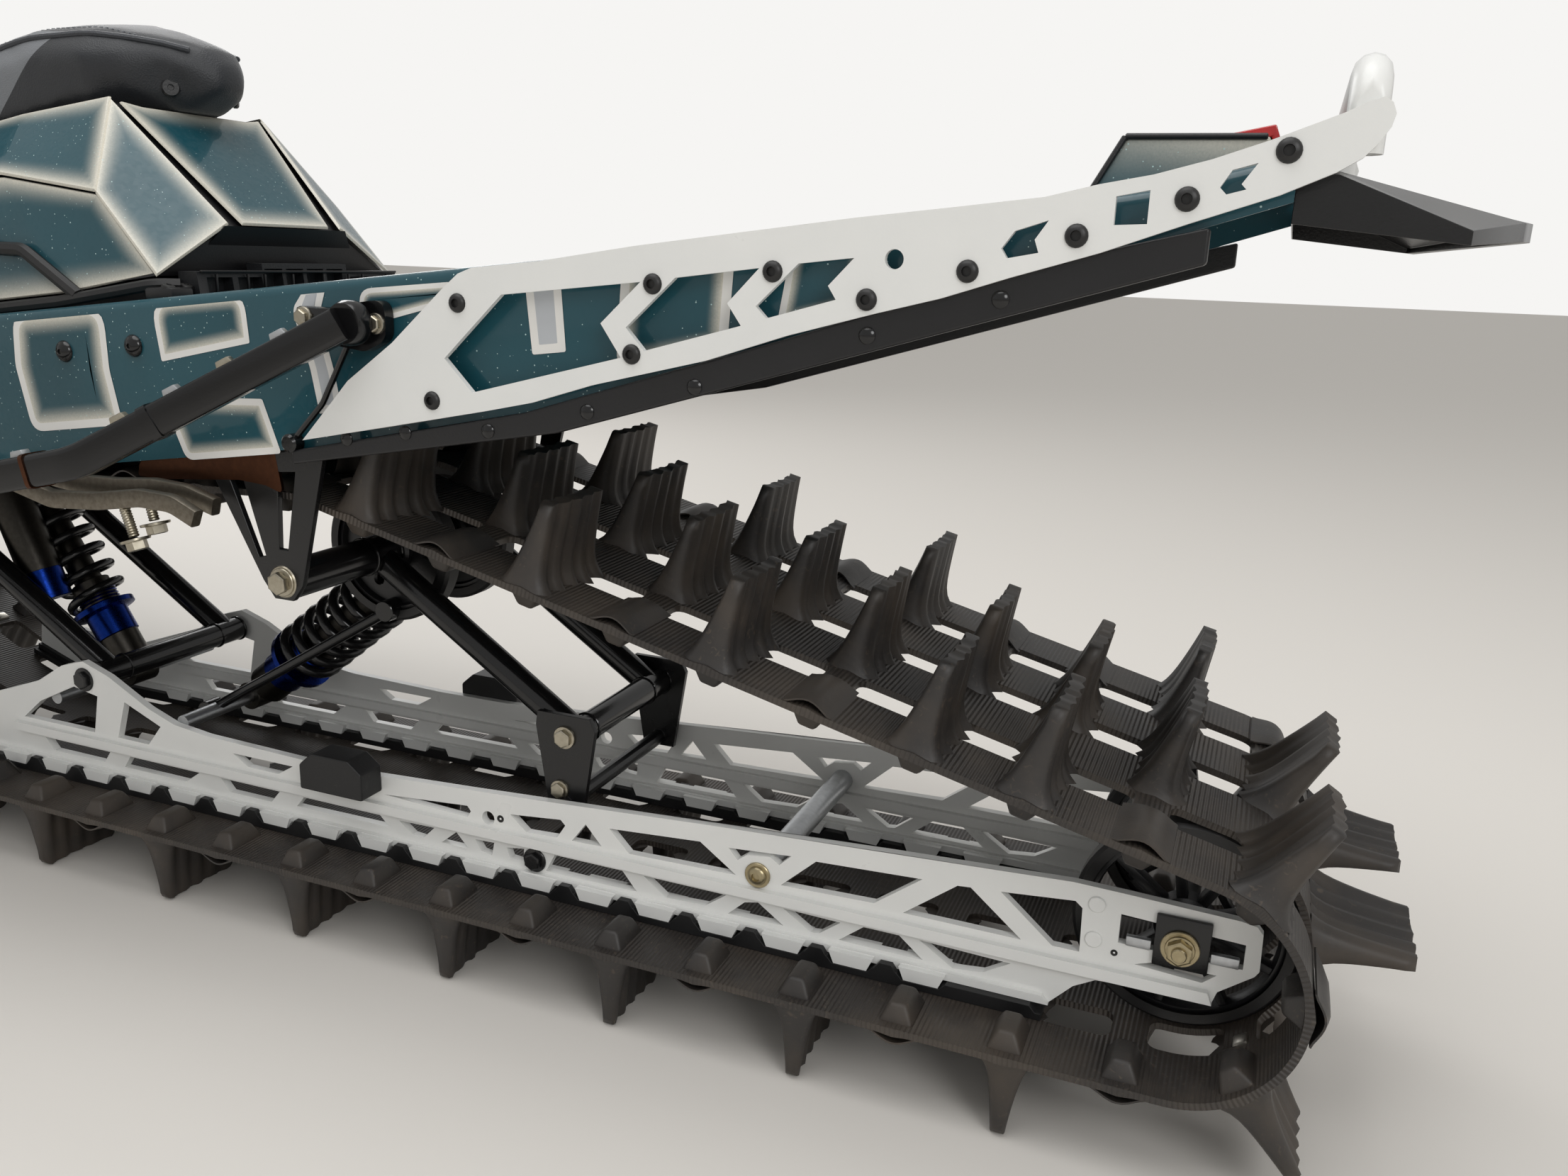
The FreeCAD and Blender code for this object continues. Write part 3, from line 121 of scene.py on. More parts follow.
pale, tree, shader = finish("pale_floor")
shader.inputs["Base Color"].default_value = colour("#dcd8d2")
shader.inputs["Roughness"].default_value = 0.75
grain = knot(tree, "ShaderNodeTexNoise", {"Scale": 60.0, "Detail": 4.0})
relief = knot(tree, "ShaderNodeBump", {"Strength": 0.08, "Distance": 0.001, "Height": grain.outputs["Fac"]})
tree.links.new(relief.outputs[0], shader.inputs["Normal"])
flat = bmesh.new()
bmesh.ops.create_grid(flat, x_segments=1, y_segments=1, size=30)
floor = bpy.data.objects.new("floor", bpy.data.meshes.new("floor"))
flat.to_mesh(floor.data)
floor.data.materials.append(pale)
scene.collection.objects.link(floor)


# Track belt: moulded rubber with three rows of windows, fine ribs across it and a rod in every row.
# It runs round the rear idler, the rails' bend, the drive sprocket and the carrier wheels.
AXLE = Vector((-1.524, 0, 0))
IDLER, CARRIER = (0, 171), (794, 382)
PITCH = 88.9
ROWS = 47
HALF_BELT = 190.5
TURNS = [
    # wheel's place along the sled, its height, radius at the middle of the belt
    (*IDLER, 92),
    (1378.79, 479, 400),
    (1763.13, 325, 98),
    (*CARRIER, 77),
]
leaving = []
for here, there in zip(TURNS, TURNS[1:] + TURNS[:1]):
    run = (there[0] - here[0], there[1] - here[1])
    leaving.append(math.atan2(run[1], run[0]) - math.acos((here[2] - there[2]) / math.hypot(*run)))
loop = []
for index, here in enumerate(TURNS):
    there = TURNS[(index + 1) % 4]
    out = Vector((math.cos(leaving[index]), 0, math.sin(leaving[index])))
    start = Vector((here[0], 0, here[1])) + out * here[2]
    end = Vector((there[0], 0, there[1])) + out * there[2]
    bend = (leaving[(index + 1) % 4] - leaving[index]) % (2 * math.pi)
    loop.append((start, end, leaving[index], (end - start).length, there, bend))


def on_loop(distance):
    """Point, way ahead and way outwards on the belt's middle line, from under the rear idler forwards."""
    distance %= PITCH * ROWS
    for start, end, angle, length, wheel, bend in loop:
        if distance <= length:
            middle = start.lerp(end, distance / length)
            break
        distance -= length
        if distance <= bend * wheel[2]:
            angle += distance / wheel[2]
            middle = Vector((wheel[0] + wheel[2] * math.cos(angle), 0, wheel[1] + wheel[2] * math.sin(angle)))
            break
        distance -= bend * wheel[2]
    outward = Vector((math.cos(angle), 0, math.sin(angle)))
    return middle, Vector((-outward.z, 0, outward.x)), outward


def moved(shape, matrix):
    """Moves and turns a whole shape."""
    bmesh.ops.transform(shape, verts=shape.verts, matrix=matrix)


def outwards(shape):
    """Turns every face of a shape outwards."""
    bmesh.ops.recalc_face_normals(shape, faces=shape.faces)


def merged_into(shape, fresh):
    """Moves one shape into another."""
    spare = bpy.data.meshes.new("spare")
    fresh.to_mesh(spare)
    fresh.free()
    shape.from_mesh(spare)
    bpy.data.meshes.remove(spare)


def settle(name, shape, finishes, crease=38, body="sled"):
    """Turns a shape in millimetres from the rear axle into a piece in place, riding on its body."""
    moved(shape, Matrix.Translation(AXLE) @ Matrix.Scale(0.001, 4))
    for face in shape.faces:
        face.smooth = True
    for edge in shape.edges:
        edge.smooth = len(edge.link_faces) == 2 and edge.calc_face_angle(0) < math.radians(crease)
    piece = bpy.data.objects.new(name, bpy.data.meshes.new(name))
    shape.to_mesh(piece.data)
    shape.free()
    for material in finishes:
        piece.data.materials.append(material)
    scene.collection.objects.link(piece)
    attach(piece, body)
    return piece


def rubber(name, base, dust, rib_pitch):
    """Moulded track rubber: dull, a little brown with dust and scuffs, ribbed where a pitch is given."""
    material, tree, shader = finish(name)
    where = knot(tree, "ShaderNodeTexCoord").outputs
    patches = knot(tree, "ShaderNodeTexNoise", {
        "Vector": where["Object"], "Scale": 9.0, "Detail": 6.0, "Roughness": 0.6}).outputs["Fac"]
    scuffs = knot(tree, "ShaderNodeTexNoise", {
        "Vector": where["Object"], "Scale": 150.0, "Detail": 5.0, "Distortion": 1.5}).outputs["Fac"]
    dusty = knot(tree, "ShaderNodeMapRange", {"Value": patches, "From Min": 0.42, "From Max": 0.72})
    specks = knot(tree, "ShaderNodeMapRange", {
        "Value": scuffs, "From Min": 0.60, "From Max": 0.72, "To Max": 0.55})
    share = knot(tree, "ShaderNodeMath", {0: dusty.outputs[0], 1: 0.55}, operation="MULTIPLY")
    cover = knot(tree, "ShaderNodeMath", {0: share.outputs[0], 1: specks.outputs[0]}, operation="MAXIMUM")
    tint = knot(tree, "ShaderNodeMix", {"Factor": cover.outputs[0], "A": colour(base), "B": colour(dust)},
                data_type="RGBA")
    tree.links.new(tint.outputs["Result"], shader.inputs["Base Color"])
    dull = knot(tree, "ShaderNodeMapRange", {"Value": patches, "To Min": 0.42, "To Max": 0.62})
    tree.links.new(dull.outputs[0], shader.inputs["Roughness"])
    relief = knot(tree, "ShaderNodeBump", {"Strength": 0.25, "Distance": 0.0005, "Height": scuffs})
    if rib_pitch:
        unrolled = knot(tree, "ShaderNodeSeparateXYZ", {0: where["UV"]})
        turn = knot(tree, "ShaderNodeMath", {0: unrolled.outputs[0], 1: 2 * math.pi / rib_pitch},
                    operation="MULTIPLY")
        ribs = knot(tree, "ShaderNodeMath", {0: turn.outputs[0]}, operation="SINE")
        relief = knot(tree, "ShaderNodeBump", {
            "Strength": 0.7, "Distance": 0.0006, "Height": ribs.outputs[0], "Normal": relief.outputs[0]})
    tree.links.new(relief.outputs[0], shader.inputs["Normal"])
    return material


belt_rubber = rubber("ribbed_rubber", "#312d2a", "#5d5348", 0.004)
lug_rubber = rubber("moulded_rubber", "#2c2927", "#574c40", 0)

WINDOW_COLUMNS = [(62, 100), (171.5, 209.5), (281, 319)]
WINDOW_REACH = (14.5, 74.5)
belt = bmesh.new()
bmesh.ops.create_grid(belt, x_segments=1, y_segments=1, size=1)
for vert in belt.verts:
    vert.co = Vector(((1 + vert.co.x) * PITCH / 2, vert.co.y * HALF_BELT, 0))


def all_of(shape):
    """Everything in a shape, as the cutting tools take it."""
    return shape.verts[:] + shape.edges[:] + shape.faces[:]


cuts = [(Vector((x, 0, 0)), Vector((1, 0, 0))) for x in WINDOW_REACH]
for low, high in WINDOW_COLUMNS:
    cuts += [(Vector((0, HALF_BELT - edge, 0)), Vector((0, 1, 0))) for edge in (low, high)]
for place, way in cuts:
    bmesh.ops.bisect_plane(belt, geom=all_of(belt), plane_co=place, plane_no=way)


def in_window(middle):
    """Whether a place on the flat belt lies in one of its windows."""
    across = HALF_BELT - middle.y
    return (WINDOW_REACH[0] < middle.x < WINDOW_REACH[1]
            and any(low < across < high for low, high in WINDOW_COLUMNS))


bmesh.ops.delete(belt, geom=[face for face in belt.faces if in_window(face.calc_center_median())],
                 context="FACES")
corners = [vert for vert in belt.verts
           if vert.is_boundary and 1 < vert.co.x < PITCH - 1 and abs(vert.co.y) < HALF_BELT - 1]
bmesh.ops.bevel(belt, geom=corners, offset=9, segments=4, profile=0.5, affect="VERTICES", material=-1)
for step in range(1, 16):
    bmesh.ops.bisect_plane(belt, geom=all_of(belt), plane_co=(step * PITCH / 16, 0, 0),
                           plane_no=(1, 0, 0), dist=0.05)
one_pitch = belt.copy()
for row in range(1, ROWS):
    fresh = one_pitch.copy()
    moved(fresh, Matrix.Translation((row * PITCH, 0, 0)))
    merged_into(belt, fresh)
one_pitch.free()
bmesh.ops.remove_doubles(belt, verts=belt.verts, dist=0.02)
unrolled = belt.loops.layers.uv.new("UVMap")
for face in belt.faces:
    for corner in face.loops:
        corner[unrolled].uv = (corner.vert.co.x / 1000, corner.vert.co.y / 1000)
HALF_THICK = 3
FIRST_ROW = 1186
bmesh.ops.solidify(belt, geom=belt.faces[:], thickness=2 * HALF_THICK)
for vert in belt.verts:
    flat_place = vert.co.copy()
    middle, ahead, outward = on_loop(FIRST_ROW - flat_place.x)
    bulge = 1.6 * math.exp(-((flat_place.x + PITCH / 2) % PITCH - PITCH / 2) ** 2 / 60)
    lift = HALF_THICK + bulge if flat_place.z > -HALF_THICK else -HALF_THICK
    vert.co = middle + Vector((0, flat_place.y, 0)) + outward * lift
bmesh.ops.remove_doubles(belt, verts=belt.verts, dist=0.02)
outwards(belt)
belt_piece = settle("track_belt", belt, [belt_rubber], 50)



# Track lugs: tall cupped paddles moulded on the belt, fluted on both faces, thin and torn at the crest.
# The rows are staggered, with a low nub in place of the paddle at one edge.
LUG_HEIGHT = 76
DOUBLED_ROW = 18
chance = random.Random(7)


def paddle(shape, spans, height, hand, middle, ahead, outward):
    """One paddle: a cube divided, then drawn out over the belt, hollowed, fluted and torn."""
    root_from, root_to, crest_from, crest_to = spans
    fresh = bmesh.new()
    bmesh.ops.create_grid(fresh, x_segments=22, y_segments=9, size=1)
    for vert in fresh.verts:
        vert.co = Vector((vert.co.x, 0, vert.co.y))
    fresh.normal_update()
    bmesh.ops.solidify(fresh, geom=fresh.faces[:], thickness=0.5)
    halfway = sum(vert.co.y for vert in fresh.verts) / len(fresh.verts)
    tears = [chance.uniform(-1.5, 0) for index in range(24)]
    lean = chance.uniform(-1.5, 1.5)
    for vert in fresh.verts:
        share, across = [min(max((place + 1) / 2, 0), 1) for place in (vert.co.z, vert.co.x)]
        face_side = 1 if vert.co.y > halfway else -1
        corner = max(0, abs(2 * across - 1) - 0.84) / 0.16
        rise = share ** 1.25 * height - 8 * share ** 2 * corner ** 2
        flare = math.exp(-max(rise, 0) / 9)
        widened = min(share * 1.15, 1) ** 0.8
        low = root_from + (crest_from - root_from) * widened
        high = root_to + (crest_to - root_to) * widened
        span = low + (high - low) * across
        gusset = (1 - share) ** 1.1 * (0.55 + 0.45 * (2 * across - 1) ** 2)
        half = 5.2 + (3 * (1 - share) + 13 * flare if face_side > 0 else 21 * gusset + 5 * flare)
        flutes = math.cos((across - 0.08) * 2 * math.pi * 5)
        flutes *= math.sin(math.pi * min(max(across, 0.03), 0.97)) ** 0.35
        depth = (3.0 - 1.4 * share + 2.2 * flare) * flutes
        cup = 3 * (2 * across - 1) ** 2 * (0.4 + 0.6 * share) * (1 - flare)
        rounding = 1 - 0.25 * corner ** 2
        along = face_side * (half * rounding + depth) - cup + 4 + lean * share ** 2
        if share > 0.99:
            rise += tears[int(across * 22)] + 0.4
        vert.co = middle + Vector((0, hand * (HALF_BELT - span), 0)) + ahead * along + outward * (rise + 0.5)
    merged_into(shape, fresh)


def shapes(count):
    """So many empty shapes."""
    return [bmesh.new() for index in range(count)]


def belt_rows():
    """Each row's hand and its place on the belt: the hands change by turns, but one row doubles the last."""
    for row in range(ROWS):
        place = row if row <= DOUBLED_ROW else row - 1
        yield 1 if place % 2 == 0 else -1, *on_loop(FIRST_ROW - row * PITCH)


lugs, nubs = shapes(2)
for hand, middle, ahead, outward in belt_rows():
    for spans in ((1, 108, 9, 103), (168, 281, 175, 274)):
        paddle(lugs, spans, LUG_HEIGHT + 1.6, hand, middle, ahead, outward)
    ridge = bmesh.ops.create_grid(nubs, x_segments=10, y_segments=5, size=1)["verts"]
    for vert in ridge:
        across = 350 + vert.co.y * 31 * (1 + 0.25 * abs(vert.co.x))
        rise = 2 + 11 * max(0, math.cos(vert.co.x * math.pi / 2)) ** 1.4 * (1 - 0.25 * abs(vert.co.y) ** 6)
        across = min(max(across, 312), 380)
        beside = Vector((0, hand * (HALF_BELT - across), 0))
        vert.co = middle + beside + ahead * (vert.co.x * 21) + outward * rise
outwards(lugs)
bmesh.ops.solidify(nubs, geom=nubs.faces[:], thickness=1.5)
outwards(nubs)
settle("track_lugs", lugs, [lug_rubber], 75)
settle("track_nubs", nubs, [lug_rubber], 75)

# Guide lugs inside the belt keep it on the wheels; clips of folded spring steel guard its windows.
# The lugs are moulded with the belt and the clips are pressed on beside every other paddle.
GUIDE_LINE, CLIP_LINE = 162, 116


def broken(shape, width, edges=None, steps=2, clamp=False):
    """Rounds off the edges of a shape, or the ones given."""
    bmesh.ops.bevel(shape, geom=shape.edges[:] if edges is None else edges, offset=width, segments=steps,
                    profile=0.5, affect="EDGES", material=-1, clamp_overlap=clamp)


guides, clips = shapes(2)
for hand, middle, ahead, outward in belt_rows():
    for side in (-1, 1):
        for vert in bmesh.ops.create_cube(guides, size=1)["verts"]:
            inward = 0.5 - vert.co.z
            across = Vector((0, side * GUIDE_LINE + vert.co.y * (44 - 14 * inward), 0))
            vert.co = middle + across + ahead * (vert.co.x * (30 - 16 * inward)) - outward * (2 + 16 * inward)
    for vert in bmesh.ops.create_cube(clips, size=1)["verts"]:
        across = Vector((0, hand * CLIP_LINE + vert.co.y * 15, 0))
        vert.co = middle + across + ahead * (vert.co.x * 13) + outward * (vert.co.z * 11.5 + 0.4)
for pressed, width in ((guides, 3), (clips, 2)):
    broken(pressed, width)
    outwards(pressed)
settle("track_guide_lugs", guides, [lug_rubber])


def clouded(name, tones, scale, detail=2.0, sheen=None):
    """A new finish whose colour, and its sheen where that is given, drift between two values."""
    material, tree, shader = finish(name)
    where = knot(tree, "ShaderNodeTexCoord").outputs["Object"]
    cloud = knot(tree, "ShaderNodeTexNoise", {"Vector": where, "Scale": scale, "Detail": detail}).outputs["Fac"]
    tint = knot(tree, "ShaderNodeMix", {"Factor": cloud, "A": colour(tones[0]), "B": colour(tones[1])},
                data_type="RGBA").outputs["Result"]
    tree.links.new(tint, shader.inputs["Base Color"])
    if sheen:
        spread = knot(tree, "ShaderNodeMapRange", {"Value": cloud, "To Min": sheen[0], "To Max": sheen[1]})
        tree.links.new(spread.outputs[0], shader.inputs["Roughness"])
    return material, tree, shader, where, tint


def steel(name, base, spots, rough):
    """Plated or bare metal with small uneven spots in its sheen."""
    material, _, shader, *_ = clouded(name, (base, spots), 220.0, 4.0, (rough - 0.08, rough + 0.12))
    shader.inputs["Metallic"].default_value = 1.0
    return material


clip_steel = steel("spring_steel_clip", "#cfccc4", "#a7a297", 0.32)
settle("track_clips", clips, [clip_steel])
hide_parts("track")


# Slide rails: two cut aluminium extrusions with a ledge and cast feet, powder coated white.
# The coat is glossy and a little uneven, and its cut edges are slightly broken so that they catch the light.
def copied(node):
    """A merged copy of a CAD node, in millimetres from the rear axle."""
    shape = bmesh.new()
    shape.from_mesh(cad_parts[node].data)
    moved(shape, Matrix.Scale(1000, 4) @ Matrix.Translation(-AXLE))
    bmesh.ops.remove_doubles(shape, verts=shape.verts, dist=0.01)
    bmesh.ops.dissolve_limit(shape, angle_limit=math.radians(0.7), use_dissolve_boundaries=False,
                             verts=shape.verts, edges=shape.edges)
    return shape


def standing_in(piece, node):
    """Shades a piece evenly and lets it stand for its CAD node."""
    even = piece.modifiers.new("even_shading", "WEIGHTED_NORMAL")
    even.keep_sharp = True
    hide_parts(node)
    return piece


def dressed(node, material, body="sled", width=0.7, crease=55):
    """A copy of a CAD node with softly broken edges, in its finish; it stands for the node."""
    shape = copied(node)
    if width:
        sharp = [edge for edge in shape.edges
                 if len(edge.link_faces) == 2 and edge.calc_face_angle(0) > math.radians(24)]
        broken(shape, width, sharp, clamp=True)
    piece = settle(node + "_finished", shape, [material], crease, body)
    return standing_in(piece, node)


def coat(name, base, shade, rough, peel):
    """Powder coat or gloss enamel: one colour, faintly uneven, with the fine ripple of orange peel."""
    material, tree, shader, where, _ = clouded(name, (base, shade), 14.0, 5.0, (rough - 0.04, rough + 0.08))
    ripple = knot(tree, "ShaderNodeTexNoise", {"Vector": where, "Scale": 450.0, "Detail": 2.0})
    relief = knot(tree, "ShaderNodeBump", {
        "Strength": peel, "Distance": 0.0004, "Height": ripple.outputs["Fac"]})
    tree.links.new(relief.outputs[0], shader.inputs["Normal"])
    return material


def facing(place, way):
    """Sets what was made round the upright axis at a place, facing one way."""
    return Matrix.Translation(place) @ Vector(way).to_track_quat("Z", "X").to_matrix().to_4x4()


def turned(shape, place, way, outline, steps=24):
    """Spins an outline of (radius, height) pairs about an axis through place."""
    fresh = bmesh.new()
    line = [fresh.verts.new((radius, 0, height)) for radius, height in outline]
    edges = [fresh.edges.new(pair) for pair in zip(line, line[1:])]
    bmesh.ops.spin(fresh, geom=line + edges, cent=(0, 0, 0), axis=(0, 0, 1), angle=2 * math.pi, steps=steps,
                   use_merge=True)
    bmesh.ops.remove_doubles(fresh, verts=fresh.verts, dist=0.001)
    outwards(fresh)
    moved(fresh, facing(place, way))
    merged_into(shape, fresh)


def button_head(shape, place, way, radius=7):
    """A low round bolt head with its socket."""
    turned(shape, place, way, [(radius, -0.5), (radius, 0.8), (radius * 0.93, 2.0), (radius * 0.72, 3.4),
                               (radius * 0.45, 3.9), (radius * 0.42, 1.5), (0, 1.5)], 20)


def hex_head(shape, place, way, radius=9, height=7, flange=1.35):
    """A hexagon head on its flange."""
    wide = radius * flange
    turned(shape, place, way, [(wide, -0.5), (wide, 1.2), (wide * 0.96, 1.8), (radius * 0.9, 2.2)], 28)
    turned(shape, place, way, [(radius, 1.5), (radius, height - 0.8), (radius * 0.86, height),
                               (radius * 0.8, height), (0, height - 0.4)], 6)


white_coat = coat("white_powder_coat", "#e4e4e1", "#d9dad8", 0.28, 0.12)
black_coat = coat("black_powder_coat", "#0e0e0f", "#151516", 0.26, 0.15)
slide_plastic = coat("black_uhmw_plastic", "#101011", "#1a1a1b", 0.45, 0.3)
black_oxide = coat("black_oxide_steel", "#0d0d0e", "#1a1918", 0.42, 0.2)
zinc = steel("zinc_plated_steel", "#bdb7a8", "#9d9583", 0.3)
yellow_zinc = steel("yellow_zinc_steel", "#b7ab8c", "#988b6e", 0.34)
bare = steel("brushed_aluminium", "#c6c8ca", "#adb0b3", 0.36)
WEB_FACE = 118.5
for hand in ("left", "right"):
    dressed("rail_" + hand, white_coat, width=0.6)
dressed("slides", slide_plastic, width=0.6)


# Rail fittings: the axle's square plate with its nut, rivets, adjusting blocks and shaft bolts.
# They are zinc plated, blacked or painted over with the rail.
def block(shape, middle, spans, edge=1.0, taper=(0, 0), axes=((1, 0, 0), (0, 1, 0), (0, 0, 1))):
    """A box with broken edges, its top narrower by the taper, set along three axes."""
    fresh = bmesh.new()
    bmesh.ops.create_cube(fresh, size=1)
    for vert in fresh.verts:
        x, y, z = vert.co
        vert.co = (x * (spans[0] - taper[0] * (z + 0.5)), y * (spans[1] - taper[1] * (z + 0.5)), z * spans[2])
    broken(fresh, edge)
    moved(fresh, Matrix.Translation(middle) @ Matrix(axes).transposed().to_4x4())
    outwards(fresh)
    merged_into(shape, fresh)


plates, shiny, dark_bolts, painted, blocks = shapes(5)
for side in (1, -1):
    way = (0, side, 0)
    web = side * WEB_FACE
    block(plates, (-1, web + side * 2.2, 174), (42, 4, 44), 1.2)
    turned(shiny, (0, web + side * 4.2, IDLER[1]), way, [(15, 0), (15, 2.4), (14.4, 3), (8, 3)], 32)
    hex_head(shiny, (0, web + side * 6.6, IDLER[1]), way, 10.5, 9, 1.1)
    turned(shiny, (0, web + side * 15, IDLER[1]), way, [(6, -2), (6, 2.4), (5.2, 3.2), (0, 3.2)], 18)
    for low, high in ((22, 41), (-44, -23)):
        block(blocks, ((low + high) / 2, web - side * 0.5, 166), (high - low, 5, 8.4), 0.6)
    for x, z in ((66, 191), (66, 160)):
        turned(painted, (x, web, z), way, [(6.8, -0.5), (6.8, 1.0), (6.2, 1.6), (0, 1.7)], 24)
    turned(shiny, (358, web, 150), way, [(12, -0.5), (12, 1.4), (11.4, 2), (6, 2)], 28)
    button_head(shiny, (358, web + side * 1.8, 150), way, 9)
    hex_head(dark_bolts, (589, web, 113), way, 9, 7)
    hex_head(dark_bolts, (1167, web, 203), way, 10, 7)
    button_head(shiny, (818, side * 140.6, 160), way, 6)
settle("axle_plates", plates, [black_coat])
settle("rail_bolts", shiny, [yellow_zinc])
settle("rail_dark_bolts", dark_bolts, [black_coat])
settle("rail_rivets", painted, [white_coat])
settle("rail_adjusters", blocks, [bare])
stop_rubber = rubber("moulded_stop_rubber", "#121213", "#2b2927", 0)
dressed("bump_stops", stop_rubber, width=2)
dressed("cross_shafts", bare, width=0)

# Side plates: laser-cut aluminium brackets over the tunnel's tail, powder coated white, held by button heads.
# The bumper between their tips is one bent bar in the same coat.
for hand in ("left", "right"):
    dressed("side_plate_" + hand, white_coat, width=0.6)
dressed("rear_bumper", white_coat, width=0, crease=60)
PLATE_FACE = 219.8
PLATE_BOLTS = [(182, 675), (114, 699), (50, 722), (-4, 750), (250, 654), (412, 658), (319, 670), (581, 637),
               (608, 560), (429, 607)]
heads, plate_plugs = shapes(2)
for side in (1, -1):
    for x, z in PLATE_BOLTS:
        button_head(heads, (x, side * (PLATE_FACE + 2), z), (0, side, 0), 7.5)
    for x, z, radius in ((627, 148, 4), (49, 152, 3)):
        turned(plate_plugs, (x, side * WEB_FACE, z), (0, side, 0),
               [(radius, -0.5), (radius * 0.9, 0.5), (radius * 0.7, 0.3), (0, -0.2)], 16)
settle("rail_plugs", plate_plugs, [black_oxide])
settle("plate_bolts", heads, [black_oxide])


# Wheels: moulded black idlers at the rear axle and carrier wheels above, each with a pressed rubber tyre.
# The idlers have spokes; the carriers have a dished web with six round holes.
def bar(shape, start, end, radius, sides=24):
    """A round bar between two points, with its edges broken."""
    start, end = Vector(start), Vector(end)
    length = (end - start).length
    turned(shape, start, end - start, [(0, 0), (radius - 0.8, 0), (radius, 0.8), (radius, length - 0.8),
                                       (radius - 0.8, length), (0, length)], sides)


tyres, hubs, rings = shapes(3)
HALF_WHEEL = 11
for side in (1, -1):
    for (x, z), y, radius, spoked in ((IDLER, 78, 88.7, True), (CARRIER, 48, 73.7, False)):
        place = Vector((x, side * (y - HALF_WHEEL), z))
        way = Vector((0, side, 0))
        turned(tyres, place, way, [(radius - 11, 0.5), (radius - 3, 0.5), (radius, 3.5), (radius, 18.5),
                                   (radius - 3, 21.5), (radius - 11, 21.5)], 64)
        turned(hubs, place, way, [(radius - 11, 4), (radius - 11, 18), (radius - 15, 19), (radius - 17, 14),
                                  (radius - 17, 8), (radius - 15, 3), (radius - 11, 4)], 64)
        turned(hubs, place, way,
               [(10, 0), (21, 0), (24, 3), (24, 19), (21, 22), (17, 22), (16, 20), (10, 20)], 40)
        turned(rings, place, way, [(17, 20), (17, 21.4), (11, 21.4), (11, 20)], 32)
        if spoked:
            for index in range(9):
                turn = 2 * math.pi * index / 9
                outward = Vector((math.cos(turn), 0, math.sin(turn)))
                block(hubs, place + way * HALF_WHEEL + outward * 48, (9, 14, 52), 1.5, (2, 0),
                      (outward.cross((0, 1, 0)), (0, 1, 0), outward))
        else:
            web = bmesh.new()
            bmesh.ops.create_circle(web, cap_ends=False, segments=48, radius=radius - 16)
            bmesh.ops.create_circle(web, cap_ends=False, segments=48, radius=23)
            for index in range(6):
                turn = 2 * math.pi * (index + 0.5) / 6
                hole = Matrix.Translation((40 * math.cos(turn), 40 * math.sin(turn), 0))
                bmesh.ops.create_circle(web, cap_ends=False, segments=16, radius=6.5, matrix=hole)
            bmesh.ops.triangle_fill(web, edges=web.edges[:], use_beauty=True, use_dissolve=False)
            bmesh.ops.solidify(web, geom=web.faces[:], thickness=5)
            outwards(web)
            moved(web, facing(place + way * 13, way))
            merged_into(hubs, web)
bar(hubs, (IDLER[0], -130, IDLER[1]), (IDLER[0], 130, IDLER[1]), 8.8)
black_nylon = coat("glass_filled_nylon", "#0d0d0e", "#17171a", 0.38, 0.35)
tyre_rubber = rubber("wheel_tyre_rubber", "#161617", "#2d2a28", 0)
tyre_piece = settle("wheel_tyres", tyres, [tyre_rubber])
hub_piece = settle("wheel_hubs", hubs, [black_nylon])
settle("wheel_circlips", rings, [zinc])
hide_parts("rear_idlers", "carrier_wheels")
dressed("drive_shaft", black_nylon, width=1)

# Suspension arms: welded round tubes in gloss black, with zinc bolts at the hangers.
# The rear arm's foot is held between slotted plates, the front arm's foot between the rails.
gloss_black = coat("gloss_black_enamel", "#0a0a0b", "#131314", 0.14, 0.1)
arms = bmesh.new()
ARM_TOP = 195
for top, foot, foot_reach, leg_y in (((1435, 372), (1167, 203), 104, 84), (CARRIER, (566, 232), 92, 76)):
    bar(arms, (top[0], -ARM_TOP, top[1]), (top[0], ARM_TOP, top[1]), 17.8, 32)
    bar(arms, (foot[0], -foot_reach, foot[1]), (foot[0], foot_reach, foot[1]), 14, 28)
    for side in (1, -1):
        bar(arms, (top[0], side * leg_y, top[1]), (foot[0], side * leg_y, foot[1]), 13.6, 28)
        for (x, z), radius in ((top, 19.2), (foot, 15.4)):
            for y in (leg_y - 19, leg_y + 16):
                bar(arms, (x, side * y, z), (x, side * (y + 3), z), radius, 32)
arm_piece = settle("suspension_arms", arms, [gloss_black])
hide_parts("front_arm", "rear_arm")
for node in ("hangers", "arm_brackets"):
    dressed(node, black_coat, width=0.8)

hanger_bolts = bmesh.new()
for side in (1, -1):
    way = (0, side, 0)
    turned(hanger_bolts, (794, side * 201.7, 382), way, [(15, -8), (15, 0.2), (14, 1.2), (8, 1.2)], 32)
    for x, y, z, radius, height, flange in ((794, 202.6, 382, 10.5, 9, 1.25), (1435, 202.6, 372, 10.5, 9, 1.25),
                                            (566, 99.5, 236, 9, 7, 1.25), (572, 99.5, 182, 8, 6, 1.2)):
        hex_head(hanger_bolts, (x, side * y, z), way, radius, height, flange)
settle("suspension_bolts", hanger_bolts, [zinc])


